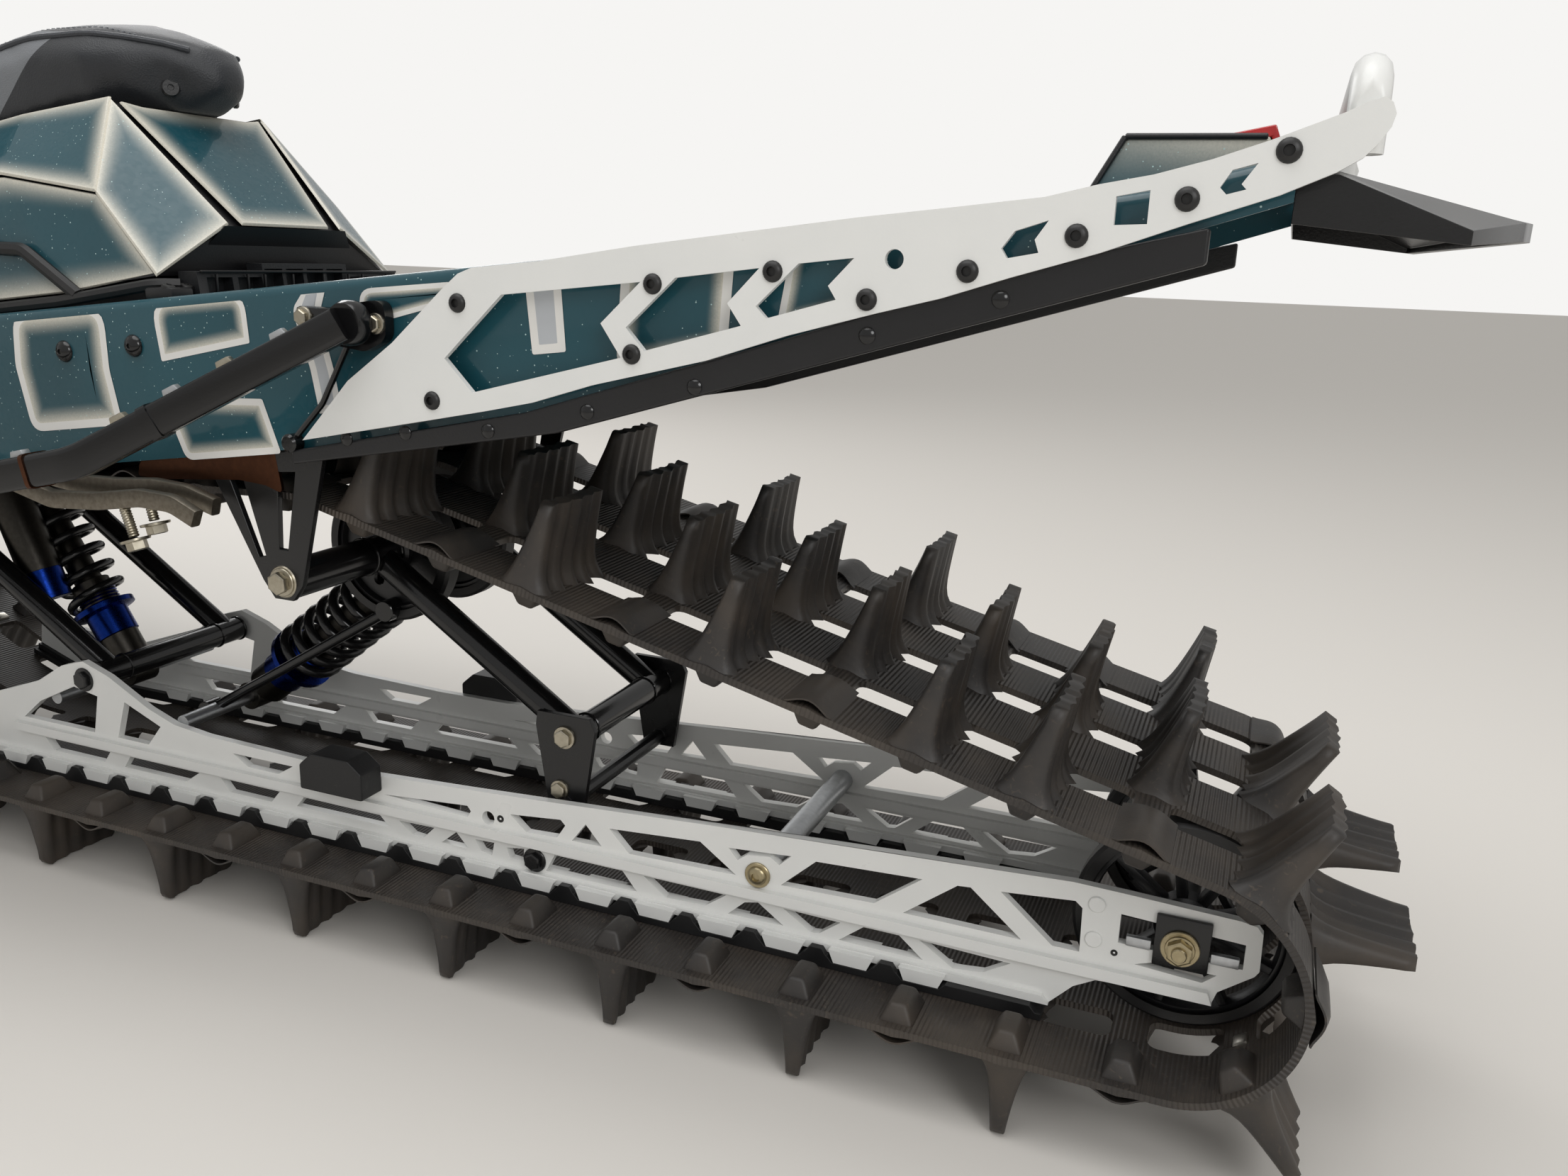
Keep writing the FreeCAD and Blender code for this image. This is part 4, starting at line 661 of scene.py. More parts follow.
# Shocks: dark anodised dampers with blue collars inside black coil springs, and a reservoir on the front one.
# The coils are wound wire, ground flat on their seats; the collars are threaded aluminium.
def coil(shape, start, end, radius, wire, turns):
    """A spring: the wire's round section spun about the axis as it moves along it."""
    start, end = Vector(start), Vector(end)
    length = (end - start).length - 2 * wire
    fresh = bmesh.new()
    ring = bmesh.ops.create_circle(fresh, cap_ends=False, segments=10, radius=wire)["verts"]
    for vert in ring:
        vert.co = Vector((radius - wire + vert.co.x, 0, wire + vert.co.y))
    steps = int(turns * 22)
    bmesh.ops.spin(fresh, geom=fresh.verts[:] + fresh.edges[:], cent=(0, 0, 0), axis=(0, 0, 1),
                   dvec=(0, 0, length / steps), angle=turns * 2 * math.pi, steps=steps, use_merge=False)
    ends = [edge for edge in fresh.edges if edge.is_boundary]
    bmesh.ops.holes_fill(fresh, edges=ends, sides=0)
    outwards(fresh)
    moved(fresh, facing(start, end - start))
    merged_into(shape, fresh)


def damper(top, foot, spring_radius, wire, turns, body_radius):
    """One coil-over damper: body, collars, eyes and spring between its two eyes."""
    top, foot = Vector(top), Vector(foot)
    way = (foot - top).normalized()
    length = (foot - top).length

    def at(share):
        return top + way * length * share

    for eye in (top, foot):
        bar(damper_metal, eye - Vector((0, 17, 0)), eye + Vector((0, 17, 0)), 16, 28)
    bar(damper_metal, at(0.08), at(0.62), body_radius * 0.72, 28)
    turned(damper_metal, at(0.1), way, [(body_radius * 0.6, 0), (spring_radius, 0), (spring_radius, 5),
                                        (body_radius * 0.8, 8)], 36)
    bar(damper_metal, at(0.55), at(0.93), body_radius, 36)
    turned(collars, at(0.70), way, [(body_radius, -6), (spring_radius - 1, -6), (spring_radius - 1, 0),
                                    (body_radius + 2, 2), (body_radius + 2, length * 0.12),
                                    (body_radius, length * 0.12 + 1)], 40)
    for groove in range(6):
        turned(collars, at(0.70) - way * (6 + groove * 4), way, [(body_radius, 0), (body_radius + 1.2, 1.2),
                                                                 (body_radius, 2.4)], 32)
    coil(springs, at(0.11) + way * 5, at(0.70) - way * 6, spring_radius, wire, turns)


damper_metal, collars, springs, knobs = shapes(4)
damper((820, 0, 340), (1036, 0, 172), 38, 5.6, 6.2, 23)
damper((1370, 0, 392), (1225, 0, 170), 36, 5.2, 5.6, 22)
bar(damper_metal, (1348, 46, 384), (1310, 46, 292), 23, 36)
bar(collars, (1312, 46, 297), (1297, 46, 260), 22.6, 36)
bar(knobs, (1296, 60, 272), (1290, 66, 262), 6, 16)
block(damper_metal, (1366, 22, 380), (26, 40, 22), 3)
dark_anodised = steel("dark_anodised_aluminium", "#4a4743", "#383632", 0.34)
blue_anodised = steel("blue_anodised_aluminium", "#14307e", "#0f2566", 0.25)
spring_black = coat("black_spring_coat", "#0c0c0d", "#161617", 0.2, 0.12)
red_knob = coat("red_moulded_plastic", "#a3161a", "#8d1216", 0.35, 0.2)
metal_piece = settle("track_shock_bodies", damper_metal, [dark_anodised])
settle("track_shock_collars", collars, [blue_anodised])
settle("track_shock_springs", springs, [spring_black])
settle("track_shock_knob", knobs, [red_knob])
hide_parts("track_shocks")
link = bmesh.new()
bar(link, (790, 60, 322), (1049, 60, 168), 5.5, 16)
for x, z in ((794, 320), (1046, 170)):
    bar(link, (x, 50, z), (x, 70, z), 11, 24)
settle("torque_link", link, [gloss_black])


# Tunnel: a folded aluminium channel over the track, in teal metal-flake lacquer under clear coat.
# Its long top edges are rolled, and rounded blocks with white printed borders run along its sides, with a pale
# painted highlight fading in from the borders.
FLAKE_SCALE, FLAKE_SHARE = 260.0, 0.42


def flake_paint(name, glow=None):
    """Metallic lacquer under clear coat: flakes painted pale as glints, and a pale painted highlight where the
    given attribute says.
    """
    material, tree, shader, where, shown = clouded(name, ("#123c46", "#1a4f5a"), 7.0, 4.0)
    if glow:
        # Painted highlight: the attribute lightens the base colour towards pale cream, with a broken edge.
        highlight_spread = knot(tree, "ShaderNodeAttribute", attribute_name=glow)
        highlight_noise = knot(tree, "ShaderNodeTexNoise", {"Vector": where, "Scale": 700.0, "Detail": 2.0})
        soft = knot(tree, "ShaderNodeMath", {0: highlight_spread.outputs["Fac"], 1: 2.3}, operation="POWER")
        rough_edge = knot(tree, "ShaderNodeMapRange", {
            "Value": highlight_noise.outputs["Fac"], "To Min": 0.75, "To Max": 1.2})
        painted_highlight_mask = knot(tree, "ShaderNodeMath", {0: soft.outputs[0], 1: rough_edge.outputs[0]},
                     operation="MULTIPLY", use_clamp=True)
        shown = knot(tree, "ShaderNodeMix", {"Factor": painted_highlight_mask.outputs[0], "A": shown, "B": colour("#d9d4c6")},
                     data_type="RGBA").outputs["Result"]
    # Real flakes are a fraction of a millimetre: these are drawn near 1 mm so that they show, and each is
    # painted pale in the base colour as a stand-in for its glint.
    flakes = knot(tree, "ShaderNodeTexVoronoi", {"Vector": where, "Scale": FLAKE_SCALE})
    chips = knot(tree, "ShaderNodeSeparateColor", {0: flakes.outputs["Color"]})
    chosen = knot(tree, "ShaderNodeMapRange", {
        "Value": chips.outputs[0], "From Min": 1 - FLAKE_SHARE, "From Max": 1.02 - FLAKE_SHARE})
    radius = knot(tree, "ShaderNodeMapRange", {"Value": chips.outputs[2], "To Min": 0.05, "To Max": 0.17})
    inside = knot(tree, "ShaderNodeMath", {0: flakes.outputs["Distance"], 1: radius.outputs[0]},
                  operation="LESS_THAN")
    flake_painted_glint = knot(tree, "ShaderNodeMath", {0: chosen.outputs[0], 1: inside.outputs[0]}, operation="MULTIPLY")
    speckled = knot(tree, "ShaderNodeMix", {"Factor": flake_painted_glint.outputs[0], "A": shown, "B": colour("#aac4c3")},
                    data_type="RGBA")
    tree.links.new(speckled.outputs["Result"], shader.inputs["Base Color"])
    gloss = knot(tree, "ShaderNodeMapRange", {"Value": chips.outputs[1], "To Min": 0.3, "To Max": 0.5})
    tree.links.new(gloss.outputs[0], shader.inputs["Roughness"])
    shader.inputs["Specular IOR Level"].default_value = 0.3
    shader.inputs["Coat Weight"].default_value = 0.55
    shader.inputs["Coat Roughness"].default_value = 0.06
    return material


teal = flake_paint("teal_flake_lacquer")
# The same lacquer with a pale painted highlight read from the mesh's highlight attribute.
teal_glow = flake_paint("teal_flake_lacquer_sprayed", "glow")
TUNNEL_FACE, TUNNEL_FOLD = 205, 8


def tunnel_line(x):
    """Height of the tunnel's long sloping top."""
    return 506 + (1960 - x) * 202 / 1760


tunnel = copied("tunnel")
rolled = [edge for edge in tunnel.edges if len(edge.link_faces) == 2 and edge.calc_face_angle(0) > 1
          and all(abs(vert.co.y) > TUNNEL_FACE - 0.5 for vert in edge.verts)
          and all(vert.co.z > tunnel_line(max(vert.co.x, 200)) - 6 or vert.co.x < 201 and vert.co.z > 700
                  for vert in edge.verts)
          and abs(edge.verts[0].co.x - edge.verts[1].co.x) > 40]
broken(tunnel, TUNNEL_FOLD, rolled, 5)
tunnel_piece = settle("tunnel_finished", tunnel, [teal], 40)
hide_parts("tunnel")
dressed("tunnel_rails", black_nylon, width=2)


def eased(back, corner, ahead, steps):
    """Points that round a corner off between a point before it and one after it."""
    for step in range(steps + 1):
        share = step / steps
        yield back * (1 - share) ** 2 + corner * 2 * share * (1 - share) + ahead * share ** 2


def area_of(points):
    """Area of a closed outline, below zero where it runs the other way round."""
    return sum(a.x * b.y - b.x * a.y for a, b in zip(points, points[1:] + points[:1])) / 2


def rounded(corners, radii, inset, steps=6):
    """A closed outline moved inwards, with its corners rounded in as many points at every inset."""
    line = []
    count = len(corners)
    points = [Vector(corner) for corner in corners]
    turn = 1 if area_of(points) > 0 else -1
    for index, here in enumerate(points):
        before = (here - points[index - 1]).normalized()
        after = (points[(index + 1) % count] - here).normalized()
        inward = Vector((-before.y, before.x)) * turn + Vector((-after.y, after.x)) * turn
        corner = here + inward * inset * 2 / max(inward.length_squared, 0.2)
        bend = math.acos(max(-1, min(1, before.dot(after))))
        reach = max(radii[index] - inset, 0.8) * math.tan(bend / 2)
        line += eased(corner - before * reach, corner, corner + after * reach, steps)
    return line


GRAPHICS = [
    # corners of each block on the tunnel's side, radius of each corner, and how far the painted highlight
    # reaches in from the border
    ([(1093, 604), (1097, 556), (1084, 494), (966, 510), (976, 560), (976, 618)], [22, 40, 16, 3, 40, 22], 17),
    ([(1150, 597), (1139, 492), (1262, 476), (1270, 583)], [20, 4, 18, 20], 17),
    ([(918, 624), (911, 571), (808, 593), (811, 636)], [22, 2, 2, 18], 15),
    ([(916, 540), (892, 484), (782, 500), (799, 546)], [3, 12, 3, 3], 15),
    ([(748, 642), (759, 622), (744, 575), (737, 538), (713, 542), (719, 575), (731, 620), (722, 646)],
     [4, 14, 30, 1, 1, 30, 14, 4], 4),
    ([(690, 643), (687, 613), (600, 636), (600, 652)], [14, 2, 2, 2], 10),
    ([(532, 668), (525, 600), (495, 604), (500, 672)], [10, 2, 2, 10], 4),
    ([(446, 676), (452, 590), (360, 612), (355, 686)], [14, 14, 2, 2], 12),
    ([(312, 690), (322, 630), (262, 646), (256, 698)], [2, 2, 10, 14], 12),
    ([(1330, 575), (1318, 476), (1450, 460), (1460, 560)], [18, 18, 3, 20], 17),
    ([(1520, 552), (1506, 452), (1650, 434), (1664, 536)], [3, 18, 18, 18], 17),
    ([(1730, 528), (1722, 480), (1880, 460), (1890, 508)], [18, 3, 3, 18], 17),
]
BORDER = 7.5
graphics = bmesh.new()
for side in (1, -1):
    for outline, radii, highlight_spread in GRAPHICS:
        fresh = bmesh.new()
        glow = fresh.verts.layers.float.new("glow")
        rings = []
        ends = [Vector(corner) for corner in outline]
        round_it = sum((b - a).length for a, b in zip(ends, ends[1:] + ends[:1]))
        squeeze = min(1, abs(area_of(ends)) / round_it / (BORDER + highlight_spread))
        # The first ring is the white printed border; inside it a painted highlight fades from full to none.
        for inset, strength in ((0, 1.0), (BORDER, 1.0), (BORDER + 0.1, 0.95), (BORDER + highlight_spread * 0.35, 0.72),
                                (BORDER + highlight_spread * 0.7, 0.38), (BORDER + highlight_spread, 0.0)):
            if highlight_spread < 5 and inset > BORDER:
                break
            ring = [fresh.verts.new((x, side * (TUNNEL_FACE + 0.4), min(z, tunnel_line(x) - TUNNEL_FOLD - 1)))
                    for x, z in rounded(outline, radii, inset * squeeze)]
            for vert in ring:
                vert[glow] = strength
            rings.append(ring)
        for depth, (outer, inner) in enumerate(zip(rings, rings[1:])):
            for index in range(len(outer)):
                ahead = (index + 1) % len(outer)
                face = fresh.faces.new((outer[index], outer[ahead], inner[ahead], inner[index]))
                face.material_index = 0 if depth == 0 else 1
        fresh.faces.new(rings[-1]).material_index = 1 if highlight_spread > 5 else 2
        bmesh.ops.triangulate(fresh, faces=[face for face in fresh.faces if len(face.verts) > 4])
        outwards(fresh)
        if fresh.faces[0].normal.y * side < 0:
            bmesh.ops.reverse_faces(fresh, faces=fresh.faces)
        merged_into(graphics, fresh)
white_ink = coat("white_vinyl_wrap", "#e6e4df", "#dcdbd8", 0.2, 0.05)
grey_ink = coat("grey_vinyl_wrap", "#b9bcc0", "#aeb2b6", 0.22, 0.05)
settle("tunnel_graphics", graphics, [white_ink, teal_glow, grey_ink])

plugs = bmesh.new()
DOME = [(10, -0.5), (10, 1), (8.6, 3.2), (5.2, 5.4), (2.4, 6.0), (2.2, 4.8), (0, 4.8)]
for side in (1, -1):
    for x, z in ((1030, 573), (943, 583), (1300, 530), (1480, 505)):
        turned(plugs, (x, side * TUNNEL_FACE, z), (0, side, 0), DOME, 24)
    for x, z in ((700, 533), (640, 543), (560, 551), (470, 573), (380, 598), (250, 642), (160, 670)):
        turned(plugs, (x, side * 217, z - 12), (0, side, 0), [(6, -0.5), (6, 0.6), (4.2, 2.4), (0, 3)], 18)
settle("tunnel_rivets", plugs, [gloss_black])

# Tail: a flexible black snow flap with a ridge at its shoulder, and the lamp on its painted housing.
# The lens is moulded red acrylic over the housing's rear edge, with a black seal along the sides.
flap_plastic = coat("black_flexible_plastic", "#101011", "#191919", 0.2, 0.2)
dressed("snow_flap", flap_plastic, width=1.5)
housing = dressed("tail_light_housing", teal_glow, width=3)
# Painted highlight on the housing: lighter towards its top and rear.
fade = housing.data.attributes.new("glow", "FLOAT", "POINT")
housing_low, housing_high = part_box("tail_light_housing")
for index, vert in enumerate(housing.data.vertices):
    rise = (vert.co.z - housing_low[2]) / (housing_high[2] - housing_low[2])
    forward = (vert.co.x - housing_low[0]) / (housing_high[0] - housing_low[0])
    fade.data[index].value = max(0, min(1, rise * (1.15 - 0.5 * forward)))
lens_red, tree, shader, where, _ = clouded("red_acrylic_lens", ("#a80c10", "#c81a1c"), 40.0)
shader.inputs["Roughness"].default_value = 0.12
shader.inputs["Subsurface Weight"].default_value = 0.25
shader.inputs["Subsurface Radius"].default_value = (0.02, 0.004, 0.004)
shader.inputs["Coat Weight"].default_value = 0.6
prisms = knot(tree, "ShaderNodeTexWave", {"Vector": where, "Scale": 90.0}, bands_direction="Y")
relief = knot(tree, "ShaderNodeBump", {"Strength": 0.5, "Distance": 0.0008, "Height": prisms.outputs["Fac"]})
tree.links.new(relief.outputs[0], shader.inputs["Normal"])
dressed("tail_light_lens", lens_red, width=1.2)
seal = bmesh.new()
for side in (1, -1):
    corner = (106, side * 98, 769.5)
    for start, end in ((corner, (12, side * 98, 769.5)), ((131, side * 106.5, 722), corner)):
        bar(seal, start, end, 2.2, 12)
settle("tail_light_seal", seal, [black_nylon])

# Running boards: an extruded edge tube in gloss black with traction cleats, and a pressed deck with open teeth.
# The tube rises behind the rider's feet to a bracket bolted through the tunnel.
TUBE, ELBOW = 14, 60
TUNNEL_SKIN = 205.5
BOARD_ROUTE = [(681, 235.8, 617), (880, 325, 500), (1090, 350, 452), (1500, 371, 388), (1765, 371, 376),
               (1765, TUNNEL_SKIN, 376)]


def piped(shape, route, radius, elbow, sides=22, steps=8, section=None):
    """A bent tube, closed at its ends: a round section, or the one given, along runs and rounded elbows."""
    points = [Vector(point) for point in route]
    line = [points[0]]
    for before, here, after in zip(points, points[1:], points[2:]):
        back, ahead = (before - here).normalized(), (after - here).normalized()
        bend = math.pi - back.angle(ahead)
        reach = min(elbow * math.tan(bend / 2), (before - here).length * 0.48, (after - here).length * 0.48)
        line += eased(here + back * reach, here, here + ahead * reach, steps)
    line.append(points[-1])
    path = bpy.data.curves.new("spare", "CURVE")
    path.dimensions = "3D"
    path.bevel_depth = radius
    path.bevel_resolution = max(sides // 4 - 1, 1)
    path.use_fill_caps = True
    if section:
        outline = bpy.data.curves.new("spare", "CURVE")
        outline.dimensions = "2D"
        edge = outline.splines.new("POLY")
        edge.points.add(len(section) - 1)
        edge.use_cyclic_u = True
        for point, place in zip(edge.points, section):
            point.co = (*place, 0, 1)
        holding = bpy.data.objects.new("spare", outline)
        path.twist_mode = "Z_UP"
        path.bevel_mode = "OBJECT"
        path.bevel_object = holding
    run = path.splines.new("POLY")
    run.points.add(len(line) - 1)
    for point, place in zip(run.points, line):
        point.co = (*place, 1)
    holder = bpy.data.objects.new("spare", path)
    if section:
        scene.collection.objects.link(holder)
        scene.collection.objects.link(holding)
        bpy.context.view_layer.update()
        ready = bpy.context.evaluated_depsgraph_get()
        made = bpy.data.meshes.new_from_object(holder.evaluated_get(ready), depsgraph=ready)
    else:
        made = bpy.data.meshes.new_from_object(holder)
    fresh = bmesh.new()
    fresh.from_mesh(made)
    bmesh.ops.remove_doubles(fresh, verts=fresh.verts, dist=0.01)
    outwards(fresh)
    merged_into(shape, fresh)
    bpy.data.meshes.remove(made)
    bpy.data.objects.remove(holder)
    bpy.data.curves.remove(path)
    if section:
        bpy.data.objects.remove(holding)
        bpy.data.curves.remove(outline)


def thickened(shape, move):
    """Gives a flat sheet its thickness by drawing it out along one move."""
    made = bmesh.ops.extrude_face_region(shape, geom=shape.faces[:], use_keep_orig=True)
    drawn = [part for part in made["geom"] if isinstance(part, bmesh.types.BMVert)]
    bmesh.ops.translate(shape, verts=drawn, vec=move)
    outwards(shape)


def upright_plate(shape, corners, radii, y, thick, steps=6):
    """A cut plate with rounded corners, standing beside the tunnel."""
    fresh = bmesh.new()
    fresh.faces.new([fresh.verts.new((x, y, z)) for x, z in rounded(corners, radii, 0, steps)])
    thickened(fresh, (0, thick, 0))
    merged_into(shape, fresh)


def box_section(half_wide, half_high, radius, steps=4):
    """A rounded box to bend a tube from."""
    corners = [(wide * half_wide, high * half_high) for wide, high in ((-1, -1), (1, -1), (1, 1), (-1, 1))]
    return rounded(corners, [radius] * 4, 0, steps)


tubes, cleats, zinc_parts, bronze_parts, fingers, decks, teeth = shapes(7)
FINGERS = [
    # distance from the middle, route of the finger, and the top and foot of its bolt
    (250, [(1090, 463), (1010, 444), (952, 448), (902, 456), (864, 455), (838, 444)], (923, 446), (913.5, 417)),
    (225, [(1090, 463), (1010, 455), (954, 457), (910, 461), (875, 459), (841, 450)], (922, 452), (916, 427)),
]
FLANGE = [(958, 463), (955, 474), (935, 500), (794, 506), (787, 463), (806, 469), (836, 471), (927, 463)]
TOOTH = [(6, -6), (5.4, 5), (3.4, 8.5), (2.6, 8.5), (2.2, 5), (2.0, -6)]
THREAD_PITCH = 2.4
DECK = [(1010, 476, 340, 470), (1500, 402, 371, 388), (1745, 368, 371, 377)]
for side in (1, -1):
    route = [Vector((x, side * y, z)) for x, y, z in BOARD_ROUTE]
    piped(tubes, route, TUBE, ELBOW, section=box_section(13.2, 13.4, 5))
    turned(tubes, (681, side * 222.7, 617), (0, side, 0), [(18, 0), (18, 9), (16, 13.5), (0, 13.5)], 36)
    # Cleats on the tube: small pressed teeth that stop a boot from sliding.
    for start, end in zip(route[:3], route[1:4]):
        way = (end - start).normalized()
        over = (Vector((0, 0, 1)) - way * way.z).normalized()
        steps = int((end - start).length / 47)
        for index in range(1, steps):
            place = start.lerp(end, index / steps) + over * (TUBE + 1.2)
            block(cleats if index % 2 else zinc_parts, place, (15, 9, 6), 0.8, (4, 0),
                  (way, over.cross(way), over))
    # Weld beads where the first run meets the second, and a pressed lip at the join.
    join = route[1]
    back, ahead = (route[0] - join).normalized(), (route[2] - join).normalized()
    collar = box_section(14.4, 14.6, 5.5)
    piped(tubes, [join + back * 78, join + back * 70], TUBE, 1, section=collar)
    piped(bronze_parts, [join + ahead * 40, join + ahead * 44], TUBE, 1, section=collar)
    # Bracket plate behind the tunnel's bolts, with two zinc bolts through it.
    upright_plate(tubes, [(700, 630), (655, 637), (655, 604), (677, 594), (712, 598)], [10, 12, 14, 12, 8],
                  side * 206, side * 10.5)
    block(tubes, (722, side * 213, 620), (42, 14, 15), 3)
    for x, y, z in ((734, 220, 619), (664, 216.5, 617)):
        hex_head(zinc_parts, (x, side * y, z), (0, side, 0), 6.5, 6, 1.3)
    # Thin black stay from the bracket down to the lower rail.
    piped(tubes, [(698, side * 212, 597), (727, side * 212, 548), (760, side * 212, 515)], 2.6, 20, 12, 4)
    turned(tubes, (762, side * 212, 512), (0, side, 0), [(8, -5), (8, 5), (6, 7), (0, 7)], 20)
    # Two worn steel fingers under the deck, each with a long flanged bolt, and a bronze-coated flange inside.
    for y, line, *bolt in FINGERS:
        piped(fingers, [(x, side * y, z) for x, z in line], 8, 40, section=box_section(5, 8, 2, 2))
        start, end = [Vector((x, side * y, z)) for x, z in bolt]
        way = (end - start).normalized()
        ridges = [(4.6, 0)]
        for thread in range(int((end - start).length / THREAD_PITCH)):
            ridges += [(4.8, (thread + 0.25) * THREAD_PITCH), (4.0, (thread + 0.75) * THREAD_PITCH)]
        turned(zinc_parts, start, way, ridges, 16)
        hex_head(zinc_parts, end, way, 9, 10, 1.45)
    upright_plate(bronze_parts, FLANGE, [3, 3, 6, 4, 4, 6, 6, 6], side * 198.8, side * 3, 3)
    # Deck: a pressed sheet with rows of open teeth, seen edge on from behind.
    for (x, z_in, y_out, z_out), (x_next, z_in_next, y_next, z_next) in zip(DECK, DECK[1:]):
        sheet = bmesh.new()
        columns = max(int((x_next - x) / 38), 1)
        bmesh.ops.create_grid(sheet, x_segments=columns, y_segments=4, size=1)
        for vert in sheet.verts:
            share, across = (vert.co.x + 1) / 2, (vert.co.y + 1) / 2
            edge = y_out + (y_next - y_out) * share
            inner, outer = z_in + (z_in_next - z_in) * share, z_out + (z_next - z_out) * share
            y = TUNNEL_SKIN + (edge - TUNNEL_SKIN) * across
            vert.co = Vector((x + (x_next - x) * share, side * y, inner * (1 - across) + outer * across))
        open_cells = [face for face in sheet.faces if abs(face.calc_center_median().y) < y_out - 22]
        bmesh.ops.inset_individual(sheet, faces=open_cells, thickness=5.5, depth=0)
        bmesh.ops.delete(sheet, geom=open_cells, context="FACES")
        bmesh.ops.remove_doubles(sheet, verts=sheet.verts, dist=0.01)
        thickened(sheet, (0, 0, -3))
        merged_into(decks, sheet)
        for index in range(columns * 2):
            share = (index + 0.5) / (columns * 2)
            edge = y_out + (y_next - y_out) * share
            place = Vector((x + (x_next - x) * share, side * (edge - 8),
                            z_out + (z_next - z_out) * share + TUBE * 0.4))
            turned(teeth, place, (0, 0, 1), TOOTH, 10)
bronze = steel("bronze_lip", "#5e3d2b", "#493024", 0.34)
worn_steel = steel("worn_cast_steel", "#8d877c", "#5f574b", 0.42)
settle("board_fingers", fingers, [worn_steel])
tube_piece = settle("board_tubes", tubes, [gloss_black])
settle("board_cleats", cleats, [bare])
settle("board_bolts", zinc_parts, [zinc])
settle("board_lips", bronze_parts, [bronze])
settle("board_decks", decks, [black_coat])
settle("board_teeth", teeth, [bare])
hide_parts("running_boards")


# Seat fairing: thin moulded panels in flake lacquer over a black moulded shell, with a pale painted highlight
# along their edges.
# The rear panel, the chamfers beside it and the long sides are separate panels with dark gaps between them.
def stops(length, first, last):
    """Places across a panel: close together where an edge is turned in and carries the painted highlight, wide
    between.
    """
    near = [0, 0.5, 1.3, 4, 8, 12, 17, 22, 28]
    front = near if first else [0]
    back = near if last else [0]
    squeeze = min(1, length * 0.9 / (front[-1] + back[-1] + 0.01))
    front = [place * squeeze for place in front]
    back = [length - place * squeeze for place in reversed(back)]
    steps = max(int((back[0] - front[-1]) / 22), 1)
    between = [front[-1] + (back[0] - front[-1]) * step / steps for step in range(1, steps)]
    return front + between + back


def panel(shape, tops, feet, outward, sides="tfse", reach=28.0, lift=0.5):
    """A panel between a top line and a foot line; t, f, s and e name its edges that turn in and carry a painted
    highlight.
    """
    tops = [Vector(point) for point in tops]
    feet = [Vector(point) for point in feet]
    runs = [0.0]
    for here, there, low, low_next in zip(tops, tops[1:], feet, feet[1:]):
        runs.append(runs[-1] + ((there - here).length + (low_next - low).length) / 2)
    length = runs[-1]
    height = sum((top - foot).length for top, foot in zip(tops, feet)) / len(tops)
    along = sorted(stops(length, "s" in sides, "e" in sides) + runs[1:-1])
    down = stops(height, "t" in sides, "f" in sides)
    fresh = bmesh.new()
    glow = fresh.verts.layers.float.new("glow")
    bmesh.ops.create_grid(fresh, x_segments=len(along) - 1, y_segments=len(down) - 1, size=1)
    depths = {}
    for vert in fresh.verts:
        reach_along = along[round((vert.co.x + 1) / 2 * (len(along) - 1))]
        reach_down = down[round((vert.co.y + 1) / 2 * (len(down) - 1))]
        index = max(i for i in range(len(runs) - 1) if runs[i] <= reach_along + 1e-6)
        share = (reach_along - runs[index]) / (runs[index + 1] - runs[index])
        top = tops[index].lerp(tops[index + 1], share)
        foot = feet[index].lerp(feet[index + 1], share)
        vert.co = top.lerp(foot, reach_down / height)
        away = [distance for side, distance in (("s", reach_along), ("e", length - reach_along),
                                                ("t", reach_down), ("f", height - reach_down)) if side in sides]
        nearest = min(away) if away else 99
        # Painted highlight: full at the named edges, none a reach away.
        vert[glow] = max(0.0, 1 - nearest / reach)
        depths[vert] = lift - 2.6 * max(0.0, 1 - nearest / 1.3) ** 2
    outwards(fresh)
    if sum((face.normal * face.calc_area() for face in fresh.faces), Vector()).dot(Vector(outward)) < 0:
        bmesh.ops.reverse_faces(fresh, faces=fresh.faces)
    fresh.normal_update()
    for vert, move in [(vert, vert.normal * depth) for vert, depth in depths.items()]:
        vert.co += move
    merged_into(shape, fresh)


FAIRING = dict(
    rear_top=(1066, 97, 808), rear_foot=(947, 75, 692), side_foot=(953, 165, 641), waist=(1022, 161, 716.4),
    top_2=(1180, 101, 791.7), waist_2=(1144, 161, 731), foot_2=(1064, 173, 622),
    top_3=(1250, 101, 778.7), waist_3=(1250, 162, 728), foot_3=(1250, 168, 600),
    top_4=(1480, 91, 737.7), waist_4=(1480, 158, 690), foot_4=(1480, 158, 573),
    top_5=(1560, 83, 727.7), waist_5=(1560, 152, 668), foot_5=(1560, 152, 564))


def spot(name, side=1, away=(0, 0, 0)):
    """A corner of the fairing, on either side, moved by a little where asked."""
    x, y, z = FAIRING[name]
    return Vector((x + away[0], side * (y + away[1]), z + away[2]))


base_plastic = coat("black_moulded_plastic", "#0f1012", "#17181b", 0.46, 0.6)
seam_black = coat("satin_black_plastic", "#0b0b0c", "#121214", 0.35, 0.2)
shell = copied("seat_fairing")
shell.normal_update()
for vert, move in [(vert, vert.normal * -7.0) for vert in shell.verts]:
    vert.co += move
shell_piece = settle("fairing_shell", shell, [seam_black], 20)
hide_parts("seat_fairing")

